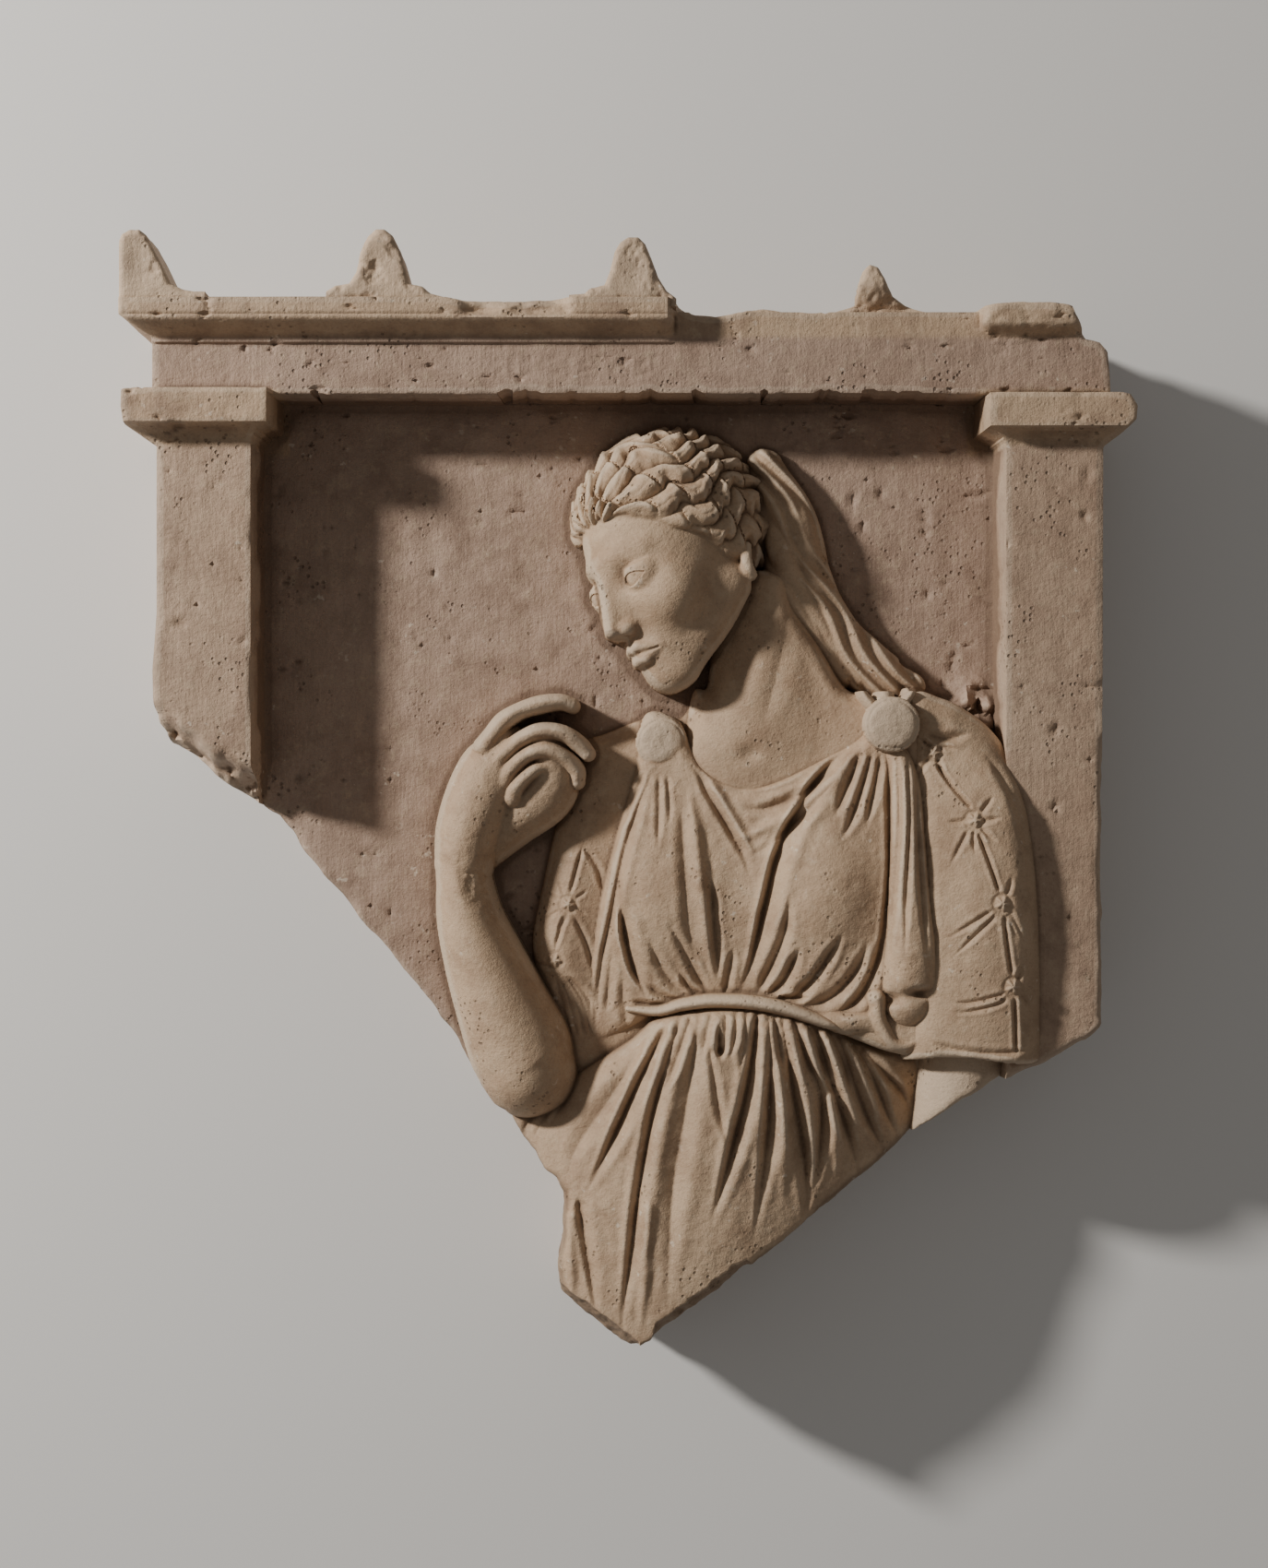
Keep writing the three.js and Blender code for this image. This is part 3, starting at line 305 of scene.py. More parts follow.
def crease(x, y, points, half, depth, side=0.0, ends=(0.22, 0.34), lip=0.3):
    """Fold valley along a curve: minus exp(-|u|^1.25) between soft lips, u the distance over half width.
    Its ends taper in depth and width. A negative depth makes a rounded ridge."""
    path, out = spline([p[:2] for p in points], 8), np.zeros(x.shape)
    near = close_to(x, y, path, half * 5)
    d, share = nearest(x[near], y[near], path)
    fade = ease(-0.02, ends[0], share) * (1 - ease(1 - ends[1], 1.02, share))
    u = d / (half * (0.4 + 0.6 * fade) * (1 + side * np.tanh(d / half)))
    sharp = 1.25 if depth > 0 else 2.0
    shape = lip * np.exp(-((np.abs(u) - 1.9) / 1.0) ** 2) - np.exp(-np.abs(u) ** sharp)
    out[near] = shape * depth * fade
    return out


def inside(x, y, polygon):
    """Signed distance to a closed outline, positive inside it."""
    best, within = np.full(x.shape, 1e9), np.zeros(x.shape, bool)
    for (ax, ay), (bx, by) in zip(polygon, np.roll(polygon, -1, axis=0)):
        dx, dy = bx - ax, by - ay
        s = np.clip(((x - ax) * dx + (y - ay) * dy) / (dx * dx + dy * dy + 1e-12), 0, 1)
        best = np.minimum(best, (x - ax - s * dx) ** 2 + (y - ay - s * dy) ** 2)
        within ^= ((ay > y) != (by > y)) & (x < (bx - ax) * (y - ay) / (by - ay + 1e-12) + ax)
    return np.where(within, 1, -1) * np.sqrt(best)


def rounded(distance, radius):
    """Quarter-round rise from an edge: 0 on it and 1 a radius inside."""
    return np.sqrt(np.clip(1 - (1 - np.clip(distance, 0, radius) / radius) ** 2, 0, 1))


def swell(x, y, at, reach, rise, turn=0.0):
    """Soft hill: rise times exp(-(u^2 + v^2)) over turned axes."""
    c, s = math.cos(math.radians(turn)), math.sin(math.radians(turn))
    u = ((x - at[0]) * c + (y - at[1]) * s) / reach[0]
    v = ((y - at[1]) * c - (x - at[0]) * s) / reach[1]
    return rise * np.exp(-u * u - v * v)


LATTICE = np.random.default_rng(7).random((256, 256))


def noise(x, y, size, seed=0):
    """Smooth value noise from 0 to 1, with lumps of about one size: a seeded lattice joined by cubic steps."""
    u, v = x / size + 31.7 * seed, y / size + 17.3 * seed
    i, j = np.floor(u).astype(int), np.floor(v).astype(int)
    fu, fv = u - i, v - j
    fu, fv = fu * fu * (3 - 2 * fu), fv * fv * (3 - 2 * fv)
    a, b = LATTICE[i % 256, j % 256], LATTICE[(i + 1) % 256, j % 256]
    c, d = LATTICE[i % 256, (j + 1) % 256], LATTICE[(i + 1) % 256, (j + 1) % 256]
    return (a * (1 - fu) + b * fu) * (1 - fv) + (c * (1 - fu) + d * fu) * fv


def rugged(x, y, size, seed=0, octaves=3):
    """Sum of noises, each half the size and half the strength of the one before, from -1 to 1."""
    total = sum((noise(x, y, size / 2 ** k, seed + k) - 0.5) / 2 ** k for k in range(octaves))
    return total / (1 - 0.5 ** octaves)


def from_break(x, y):
    """Distance inside the block's outline, made uneven along the breaks but not along the worked edges."""
    s = inside(x, y, OUTLINE)
    broken = np.where(y < 60, 1.0, ease(20, 60, -np.abs(y - 345) + 60) * ease(28, 40, x) * 0.6)
    return s + broken * (1.6 * rugged(x, y, 14, 3, 4) - 0.3)


def broken_faces(x, y):
    """Height limit of the rough faces where the foot has split off: steep planes with a hackly surface."""
    face = 20 + 2.6 * ((x + 50) * 0.62 + (y + 362) * 0.78) + 5 * rugged(x, y, 8, 6, 4)
    chamfer = 34 + 2.2 * ((x - 100) * -0.60 + (y + 331) * 0.80) + 7 * rugged(x, y, 9, 7, 4)
    face = np.where((x < 8) & (y < -340), face, 99)
    chamfer = chamfer + 60 * ease(20, 8, x) + 60 * ease(84, 100, x)
    return np.minimum(face, np.where((x > 12) & (x < 96), chamfer, 99))


def over_block(field):
    """The field of a piece, ended by the block's outline, its edge worn round along the break."""
    def cut(x, y):
        z, s = field(x, y), from_break(x, y) - 0.5
        z = np.where((y < -300) & (z > 0), np.minimum(z, np.maximum(broken_faces(x, y), 0)), z)
        worn = np.where(y < BREAK_TOP, BREAK_ROUND * (0.5 + 1.1 * noise(x, y, 19, 5)), 1.2)
        z = np.where(z > SUNK, z - worn * (1 - rounded(s, worn * 1.4)), z)
        return np.where(s > 0, z, BURIED)
    return cut


# ---- fields of the block ------------------------------------------------------------------------------
def tooling(x, y):
    """Marks of the claw chisel: shallow upright strokes, uneven along their length."""
    return 0.22 * np.sin(x * 1.9 + 2.2 * noise(x, y, 26, 11)) * noise(x * 2.5, y * 0.25, 9, 12)


def ground(x, y):
    """Field behind the woman: nearly flat, dressed with the claw chisel, with a soft rise to the frame."""
    z = 0.9 * rugged(x, y, 60, 20) + 0.9 * rugged(x, y, 15, 21, 4) + tooling(x, y)
    z = z + np.clip(swell(x, y, (254, 58), (13, 18), 26) * (0.7 + 1.2 * rugged(x, y, 9, 22, 4)), 0, 40)
    z = z + 3.0 * np.exp(-np.clip(PILASTER_INNER - np.abs(x), 0, 99) / 4.5)
    return z + 2.6 * np.exp(-np.clip(EPISTYLE[0] - y, 0, 99) / 4.0)


def pilaster(x, y):
    """Plain pilasters at the sides; the left one ends in a break that falls back as it goes down."""
    inner = np.abs(x) - PILASTER_INNER - 0.5 * rugged(x, y, 30, 23)
    z = PILASTER_FACE * ease(-1.6, 1.0, inner) - 1.4 * (1 - rounded(np.clip(inner, 0, 4), 3.0))
    z = z + 0.5 * rugged(x, y, 40, 24) + 0.8 * tooling(x, y)
    low = np.interp(x, [-345, -330, -300, -272, -262], [58, 50, 25, 16, 12]) + 9 * rugged(x, y, 16, 25)
    fall = ease(0, 26, low + 10 - y) * 34 * (1 + 0.5 * rugged(x, y, 10, 26))
    return np.where(x < 0, z - fall * (inner > -2), z)


def epistyle(x, y):
    """Flat band over the pilasters with a row of shallow strokes, its lower arris chipped."""
    bottom, top, face = EPISTYLE
    chip = 0.5 * rugged(x, y * 0, 60, 31) + 9 * np.clip(rugged(x, y * 0 + 5, 11, 32, 4) - 0.28, 0, 0.3) + 0.6
    rise = y - bottom - chip
    z = face - 1.6 * (1 - rounded(np.clip(rise, 0, 3), 2.6)) + 0.5 * rugged(x, y, 46, 33) + tooling(x, y)
    z = z - strokes(x, y)
    return np.where((rise > 0) & (y < top + 20), z, BURIED)


def strokes(x, y):
    """Row of shallow V cuts that are no letters: short bars that lean to and fro, some with a tick."""
    left, right, low, high, count = STROKES
    cut = np.zeros(x.shape)
    near = (x > left - 6) & (x < right + 6) & (y > low - 4) & (y < high + 4)
    px, py = x[near], y[near]
    for k in range(count):
        at, lean = left + (k + 0.5) * (right - left) / count, (-1.8, 0.0, 1.8, -0.5)[k % 4]
        tall = (high - low) * (0.6 if k % 3 == 0 else 0.95)
        base = 0.5 * (low + high - tall)
        bars = [((at - lean, base), (at + lean, base + tall))]
        if k % 4 == 2:
            bars.append(((at + 3.2, base + 1), (at + 3.2 + lean, base + 0.45 * tall)))
        for a, b in bars:
            d, _ = nearest(px, py, np.array([a, b]))
            cut[near] = np.maximum(cut[near], 1.3 * np.exp(-(d / 0.9) ** 2))
    return cut * (0.55 + 0.6 * noise(x, y, 18, 34))


def capital(x, y):
    """Anta capitals: a hollow moulding that swings out into a plain fascia."""
    bottom, foot, top, reach = CAPITAL
    sunk = np.where(x > 0, 3.5, 0.0)
    t = np.clip((y - bottom + sunk) / (foot - bottom), 0, 1)
    out = reach * (1 - np.sqrt(np.clip(1 - t ** 2, 0, 1)))
    out = np.where(y > foot - sunk, reach, out)
    inner = np.abs(x) - (PILASTER_INNER - 0.72 * out) - 0.4 * rugged(x, y, 22, 41)
    edge = np.minimum(inner, top - sunk - y)
    z = PILASTER_FACE + out - 3.0 * (1 - rounded(np.clip(edge, 0, 6), 5.0)) + 1.0 * rugged(x, y, 20, 42, 4)
    z = z - 1.6 * (1 - rounded(np.abs(y - foot + sunk), 3.0))
    return np.where((inner > 0) & (y > bottom - sunk) & (y < top - sunk), z, BURIED)


def cornice(x, y):
    """Crowning moulding: a cyma under a fascia, whole on the left, scarred or broken to the right."""
    low, foot, reach = CORNICE
    t = np.clip((y - low) / (foot - low), 0, 1)
    whole = EPISTYLE[2] + reach * (0.12 + 0.88 * ease(0.0, 1.0, t) ** 0.85)
    whole = np.where(y > foot, EPISTYLE[2] + reach, whole)
    whole = whole - 1.2 * np.exp(-((y - foot) / 1.1) ** 2) + 0.5 * rugged(x, y, 26, 51)
    scar = ease(-122, -112, x) * (1 - ease(-50, -38, x)) * ease(338, 344, y)
    whole = whole - scar * (4.5 + 6 * rugged(x, y, 12, 52) + 5 * ease(346, 352, y))
    lost = 55 - 0.35 * (y - 323) + 5 * rugged(x, y, 15, 53, 4) * ease(323, 330, y)
    rough = 56.5 - 0.5 * (y - 323) + 6.5 * rugged(x, y, 15, 54, 5) * ease(323, 330, y)
    stub = 57 + 12 * ease(326, 336, y) + 3.0 * rugged(x, y, 16, 55, 4)
    z = whole + (lost - whole) * ease(31, 39, x + 5 * rugged(x, y, 12, 56))
    z = z + (rough - z) * ease(76, 90, x + 8 * rugged(x, y, 14, 57))
    z = z + (stub - z) * ease(246, 256, x + 8 * rugged(x, y, 14, 58))
    z = z - 6 * ease(0, 12, x - 318)
    return np.where(y > low - 2, z, BURIED)


def antefix(x, y):
    """Ornaments on the roof's edge: plain worn tongues, each with a shallow dished front and a chipped rim."""
    z = EPISTYLE[2] + CORNICE[2] - 0.6 + 0.6 * rugged(x, y, 16, 61) - 3.0 * ease(353, 348, y)
    for at, half in ((-346, 20), (-176, 26), (3, 24), (174, 16)):
        z = z - swell(x, y, (at, 374), (half * 0.5, 16), 1.8)
    z = z - (x > 130) * (22 + 10 * ease(366, 350, y) - 3.0 * rugged(x, y, 9, 62, 4))
    s = inside(x, y, OUTLINE)
    chips = 1.2 * np.clip(rugged(x, y, 12, 63, 4) - 0.1, 0, 1) * 4
    z = z - 3.4 * (1 - rounded(np.clip(s - 0.3, 0, 5), 4.5)) - chips
    return np.where(s > 0, z, BURIED)


def temple_front(x, y):
    """Front of the block: the highest of its parts, ended by the outline."""
    z = ground(x, y)
    beside = (np.abs(x) > PILASTER_INNER - 3) & (y < EPISTYLE[0] + 2)
    z = np.where(beside, np.maximum(z, pilaster(x, y)), z)
    for part in (epistyle, capital, cornice):
        z = np.maximum(z, part(x, y))
    s = from_break(x, y)
    z = z - pits(x, y)
    worn = np.where(y < 40, 5.5 * noise(x, y, 23, 64) + 1.0, 1.4)
    z = z - worn * (1 - rounded(np.clip(s, 0, 12), worn * 1.5 + 0.5))
    return np.where((s > 0) & (y < 352.5), z, BURIED)


def pits(x, y):
    """Scattered small losses: thresholded noise, so most of the surface has none."""
    small = np.clip(noise(x, y, 3.4, 71) * noise(x, y, 21, 72) - 0.66, 0, 1) * 6
    large = np.clip(rugged(x, y, 11, 73, 4) - 0.47, 0, 1) * 16
    return np.minimum(small + large, 2.2)


# ---- fields of the woman ------------------------------------------------------------------------------
def edged(z, s, low, radius):
    """A surface rounded down to a height over a radius at its edge."""
    return np.where(s > 0, low + (z - low) * rounded(s, radius), BURIED)


def far_sleeve(x, y):
    """Sleeve of the raised arm: close folds fanning from two star-shaped buttons on its seam."""
    s = inside(x, y, spline(FAR_SLEEVE, 8, True))
    z = 18 + swell(x, y, (-50, -110), (22, 60), 6)
    for bx, by in FAR_BUTTONS:
        z = z + star(x, y, (bx, by), 5.0, 2.2)
    for points, half, depth in (([(-44, -86), (-50, -100), (-54, -115)], 1.6, 2.4),
                                ([(-43, -74), (-38, -55), (-33, -36)], 1.6, 2.4),
                                ([(-41, -86), (-30, -110), (-24, -135)], 2.0, 2.0),
                                ([(-33, -38), (-22, -55), (-18, -75)], 2.0, 2.0),
                                ([(-54, -127), (-64, -124), (-72, -124)], 1.5, 2.0)):
        z = z + crease(x, y, points, half, depth)
    for ex, ey in ((-62, -92), (-60, -72), (-52, -62), (-30, -70), (-30, -88), (-52, -100)):
        start = (-44 + (ex + 44) * 0.35, -80 + (ey + 80) * 0.35)
        z = z + crease(x, y, [start, (ex, ey)], 1.3, 1.3)
    for k in range(5):
        z = z + crease(x, y, [(-54 + k * 2, -130), (-49 + k * 5, -150), (-42 + k * 5, -178)], 2.4, 2.6)
    return edged(z, s, 2, 30)


def star(x, y, at, radius, rise):
    """Five-pointed button: a cone whose slope swings with the angle."""
    d, a = np.hypot(x - at[0], y - at[1]), np.arctan2(y - at[1], x - at[0])
    reach = radius * (0.72 + 0.28 * np.cos(5 * a + 0.6))
    return rise * np.clip(1.25 - d / reach, 0, 1) ** 0.8 - 0.9 * np.exp(-((d - radius * 1.15) / 1.5) ** 2)


def bodice(x, y):
    """Upper dress: two breasts under thin cloth, with folds from the shoulders and the belt."""
    s = inside(x, y, spline(BODICE, 8, True))
    z = 16 + (x + 40) * 0.165 + swell(x, y, (22, -72), (46, 62), 20, 10)
    z = z + swell(x, y, (138, -70), (40, 62), 19, -12) + swell(x, y, (80, -150), (60, 26), -4)
    z = z + 1.3 * rugged(x, y, 30, 84, 3) + 0.35 * rugged(x, y, 6, 85)
    for points, half, depth, side in BODICE_FOLDS:
        z = z + crease(x, y, points, half, depth, side)
    return edged(z, s, 6 + (x + 40) * 0.15, 11)


def pouch(x, y):
    """Bundle of cloth that hangs from the brooch and bags over the belt at the near side."""
    z = limb(x, y, POUCH)
    for at, foot, half, depth in ((192, 186, 2.2, 3.2), (199, 196, 2.0, 2.8), (205, 212, 2.2, 2.6)):
        z = z + crease(x, y, [(at, 32), (at + 1, -20), (0.5 * (at + foot), -70), (foot, -122)], half, depth)
    z = z + crease(x, y, [(206, 20), (211, -40), (216, -100), (219, -140)], 3.0, -2.0)
    z = z - swell(x, y, (187, -146), (7, 4), 9) - swell(x, y, (208, -142), (9, 3.5), 9)
    return z + np.where(z > BURIED, 0.8 * rugged(x, y, 13, 86, 4), 0)


def pouch_end(x, y):
    """Foot of the bundle: cloth that runs in from the belt and a fold curled round a deep eye."""
    z = smooth_max(limb(x, y, POUCH_END), limb(x, y, POUCH_LOOP), 5)
    z = z + crease(x, y, [(150, -156), (166, -154), (178, -150)], 3.0, 3.0)
    return z - swell(x, y, (197, -163), (5.5, 7), 14)


def near_sleeve(x, y):
    """Sleeve of the hanging arm: stars on the seam down its outer side and short folds rayed from them."""
    s = inside(x, y, spline(SLEEVE, 8, True))
    z = 60 + swell(x, y, (262, -80), (46, 140), 16.5) + swell(x, y, (232, 40), (34, 30), -6)
    z = z - 16 * ease(-20, 60, y) * ease(230, 285, x) + 1.2 * rugged(x, y, 24, 87, 4)
    for at in NEAR_BUTTONS:
        z = z + star(x, y, at, 5.4, 2.6)
    for points in ([(220, 22), (232, 4), (244, -10)], [(248, -26), (256, -48), (263, -69)],
                   [(266, -85), (269, -108), (272, -128)], [(274, -144), (275, -162), (276, -184)]):
        z = z + crease(x, y, points, 1.5, 2.8, ends=(0.08, 0.08))
    for k, points in ((0, [(226, 34), (236, 32)]), (0, [(212, 22), (206, 12)]), (0, [(222, 22), (226, 10)]),
                      (0, [(214, 36), (206, 42)]), (1, [(234, -19), (226, -19)]), (1, [(238, -32), (228, -52)]),
                      (1, [(245, -32), (246, -44)]), (1, [(254, -8), (260, 0)]), (1, [(256, -18), (266, -16)]),
                      (1, [(254, -28), (264, -36)]),
                      (2, [(252, -86), (224, -104)]), (2, [(256, -90), (228, -118)]),
                      (2, [(270, -66), (272, -56)]), (2, [(272, -86), (281, -104)]), (2, [(270, -90), (276, -102)]),
                      (3, [(262, -143), (240, -148), (224, -146)]), (3, [(264, -148), (244, -154), (224, -155)]),
                      (3, [(278, -128), (280, -118)]), (3, [(282, -146), (290, -156)])):
        bx, by = NEAR_BUTTONS[k]
        start = (bx + (points[0][0] - bx) * 0.55, by + (points[0][1] - by) * 0.55)
        z = z + crease(x, y, [start, *points], 1.7, 1.9, ends=(0.1, 0.55))
    for points, half, depth in (([(254, 30), (268, 10), (280, -20), (288, -60)], 3.0, 2.5),
                                ([(212, 44), (226, 40), (246, 44)], 3.0, 3.0),
                                ([(214, -176), (236, -182), (266, -184), (292, -180)], 2.2, 2.2)):
        z = z + crease(x, y, points, half, depth)
    hem = y + 190.0 - 2.5 * np.sin((x - 206) / 17)
    z = edged(z, s, 40, 24)
    return np.where(hem > 0, z - 5 * (1 - rounded(hem, 4.5)), BURIED)


def belt(x, y):
    """Narrow cord belt, tied under the bosom."""
    return limb(x, y, BELT)


def brooches(x, y):
    """Round fibulae on both shoulders, slightly domed, with tufts of cloth over the near one."""
    out = np.full(x.shape, BURIED)
    for bx, by, radius, top in BROOCHES:
        d = np.hypot(x - bx, y - by) / radius
        ring = 0.9 * np.exp(-((d - 0.86) / 0.05) ** 2)
        z = top - 2.6 * d ** 2 - 3.0 * d ** 10 + 0.7 * rugged(x, y, 8, 81) - ring
        out = np.where(d < 1, np.maximum(out, z), out)
    for rows in TUFTS:
        out = np.maximum(out, limb(x, y, rows))
    return out


def skirt(x, y):
    """Lower dress: a rounded front with deep folds that fan out from the belt."""
    s = inside(x, y, spline(SKIRT, 8, True))
    t = np.clip((-150 - y) / 250, 0, 1)
    z = 56 - 30 * ((x - 84 + 60 * t) / 120) ** 2 - 2 * t + swell(x, y, (70, -300), (70, 80), 5)
    for points, half, depth, side in SKIRT_FOLDS:
        z = z + crease(x, y, points, half, depth, side, ends=(0.06, 0.45))
    z = z + 1.0 * rugged(x, y, 30, 88, 3) + 0.35 * rugged(x, y, 6, 89)
    z = z - swell(x, y, (65, -176), (1.9, 9), 6) - swell(x, y, (65.5, -184), (2.6, 3.4), 6)
    return edged(z, s, 14, 20)


def side_folds(x, y):
    """Cloth falling at the far side of the skirt, below the elbow."""
    out = np.full(x.shape, BURIED)
    for rows in SIDE_FOLDS:
        out = smooth_max(out, limb(x, y, rows), 2)
    return out


def throat(x, y):
    """Chest above the dress and the neck, with the hollow between the collar bones."""
    s = inside(x, y, spline(SKIN, 8, True))
    z = smooth_max(22 + (x - 40) * 0.17, limb(x, y, NECK), 10)
    z = z + crease(x, y, [(118, 140), (108, 90), (96, 46)], 7, 2.0) + swell(x, y, (88, 30), (8, 6), -3)
    return edged(z, s, 8 + (x - 40) * 0.05, 14)


def hair_fall(x, y):
    """Long locks that fall behind the neck on to the shoulder, in low relief."""
    out = np.full(x.shape, BURIED)
    for rows in HAIR_FALL:
        turn = rows[1][2]
        waved = [(px + 3 * math.sin(i * 2.1 + turn), py, z, w, b) for i, (px, py, z, w, b) in enumerate(rows)]
        out = smooth_max(out, limb(x, y, waved), 2.0)
    bed = limb(x, y, HAIR_BED) + 2.2 * np.sin((x * 0.8 + y * 0.55) * 0.55 + 2 * np.sin(y * 0.08))
    return smooth_max(out, bed, 2)


def forearm(x, y):
    """Raised forearm, thickening to the elbow, with an incised line and a damaged patch at the wrist."""
    z = smooth_max(limb(x, y, FOREARM), limb(x, y, ELBOW_POINT), 8)
    z = z + crease(x, y, [(-141, -48), (-124, -52), (-102, -50)], 1.0, 1.2, lip=0)
    rough = ease(0.3, 1.0, np.exp(-((x + 107) / 14) ** 2 - ((y + 57) / 22) ** 2) * 1.6)
    return z - rough * (2.2 + 3.2 * rugged(x, y, 8, 91, 4))


def hand(x, y):
    """Hand of the raised arm, its fingers curled towards the face."""
    z = smooth_max(limb(x, y, HAND_BACK), limb(x, y, PALM), 4)
    for rows in FINGERS:
        z = smooth_max(z, limb(x, y, rows), 2.2)
    return z + np.where(z > BURIED, 0.5 * rugged(x, y, 9, 92, 4), 0)


# ---- head ---------------------------------------------------------------------------------------------
FORWARD = np.array([-math.sin(HEAD_YAW) * math.cos(HEAD_NOD), -math.sin(HEAD_YAW) * math.sin(HEAD_NOD),
                    math.cos(HEAD_YAW)])
UPWARD = np.array([-math.sin(HEAD_NOD), math.cos(HEAD_NOD), 0.0])
SIDEWAYS = np.cross(UPWARD, FORWARD)


def egg(p, centre, radii):
    """Signed distance to an ellipsoid: k (k - 1) / |q / r|, with q the point over the radii and k its length."""
    q = (p - np.array(centre)) / np.array(radii)
    k = np.linalg.norm(q, axis=-1)
    return k * (k - 1) / np.maximum(np.linalg.norm(q / np.array(radii), axis=-1), 1e-6)


def ball(p, centre, radius):
    """Signed distance to a sphere."""
    return np.linalg.norm(p - np.array(centre), axis=-1) - radius


def rod(p, a, b, ra, rb):
    """Signed distance to a tapered round rod."""
    a, d = np.array(a, float), np.array(b, float) - np.array(a, float)
    t = np.clip(((p - a) @ d) / (d @ d), 0, 1)
    return np.linalg.norm(p - a - t[..., None] * d, axis=-1) - (ra + (rb - ra) * t)


def chain(p, points, radii):
    """Signed distance to a row of rods along a smooth path."""
    path = spline(points, 4)
    n = len(path) - 1
    r = np.interp(np.linspace(0, 1, n + 1), np.linspace(0, 1, len(radii)), radii)
    return np.min([rod(p, path[i], path[i + 1], r[i], r[i + 1]) for i in range(n)], axis=0)


def hair_shell(p):
    """Cap of hair: uneven thick locks swept back from the forehead round an axis through the head, each broken
    into overlapping tufts, with fine strands on them."""
    x, y, z = p[..., 0], p[..., 1], p[..., 2]
    base = egg(p, (0, 8, -8), (69, 76, 83))
    angle = np.arctan2(y - 16 - 0.06 * (z + 10), x)
    drift = noise(angle * 16 + 60, z + 200, 25, 111) - 0.5
    small = noise(angle * 26 + 60, z + 200, 8, 112) - 0.5
    lock = angle * 10.5 + 0.5 * np.sin(z / 15 + 1.5 * angle) + 6.0 * drift + 1.5 * small
    row, across = np.floor(lock / math.pi), np.abs(np.sin(lock))
    along = z / 27 + 0.47 * row + 2.0 * (noise(row * 7.3 + 40, row * 3.1 + 9, 1.0, 113)) + 0.7 * drift
    tuft = along - np.floor(along)
    swept = ease(0.0, 0.22, tuft) * (1 - 0.55 * ease(0.35, 1.0, tuft))
    strands = np.abs(np.sin(lock * 3 + 1.5 * np.sin(z / 7)))
    rise = 8.0 * across ** 0.8 * (0.35 + 0.65 * swept) + 0.8 * strands * across + 3.0 * small - 3.0
    line = np.interp(z, *HAIRLINE)
    rise = rise * (0.45 + 0.55 * ease(-2, 12, y - line))
    return smooth_max(base - rise, (line - y) * 0.72 + 2.0 * np.sin(lock) * across, 6)


def eyes(d, q):
    """Eyeballs between lids: each lid is a shell of a larger sphere, open along an almond."""
    d = smooth_max(d, -egg(q, (27, -18, 84), (19, 13.5, 20)), 6)
    beside = q[..., 0] - 27.5
    aperture = 5.4 * (1 - (beside / 14.0) ** 2) - np.abs(q[..., 1] + 21.0 - 0.05 * beside)
    lids = smooth_max(ball(q, (27.5, -21, 56.5), 17.4), aperture, 0.8)
    lids = smooth_max(lids, np.abs(q[..., 1] + 21) - 10.5, 2)
    return np.minimum(smooth_min(d, lids, 2.4), ball(q, (27.5, -21, 56.5), 15.9))


def head_distance(p):
    """Signed distance to the head in its own frame: skull, face and neck blended, then features and hair."""
    q = p.copy()
    q[..., 0] = np.abs(p[..., 0])
    d = egg(p, (0, 8, -8), (62, 68, 78))
    d = smooth_min(d, egg(p, (0, -30, 20), (54, 66, 57)), 16)
    d = smooth_min(d, rod(q, (40, -58, -6), (12, -98, 50), 17, 16), 18)
    d = smooth_min(d, egg(p, (0, -74, 52), (28, 26, 25)), 14)
    d = smooth_min(d, ball(p, (0, -99, 56), 17), 12)
    d = smooth_min(d, ball(q, (33, -44, 46), 22), 16)
    d = smooth_min(d, chain(q, [(7, 0, 69.5), (20, 2, 66), (36, -1, 53)], [4.2, 3.8, 2.6]), 12)
    d = eyes(d, q)
    d = smooth_min(d, rod(p, (0, -6, 66), (0, -50, 78), 7.5, 10.5), 12)
    d = smooth_min(d, rod(p, (0, 2, 70.5), (0, -50, 91), 5.0, 6.6), 7)
    d = smooth_min(d, egg(q, (8.4, -54, 81), (5.6, 5.4, 7.4)), 4.5)
    d = smooth_max(d, -egg(q, (4.6, -60.5, 86), (2.6, 2.4, 4)), 2.2)
    upper_lip = chain(q, [(0, -72, 79.5), (6, -71, 79), (13, -74.5, 74.5), (19, -77, 68)], [3.6, 3.8, 3.0, 1.6])
    d = smooth_min(d, upper_lip, 5)
    d = smooth_min(d, chain(q, [(0, -82.5, 78.5), (7, -82, 77), (14, -79.5, 72)], [4.4, 4.0, 2.2]), 5)
    slit = [(0, -77.0, 84.0), (6, -76.6, 83), (13, -77.2, 78), (19.5, -78, 71)]
    d = smooth_max(d, -chain(q, slit, [1.0, 1.0, 1.1, 0.9]), 1.6)
    d = smooth_max(d, -ball(p, (0, -91.5, 86), 6.0), 8)
    ear = chain(q, [(58, -36, -24), (60, -44, -17), (60, -53, -14), (58, -58, -16)], [4, 4.6, 4.8, 4.6])
    d = smooth_min(d, ear, 4)
    return smooth_min(d, hair_shell(p), 1.5)


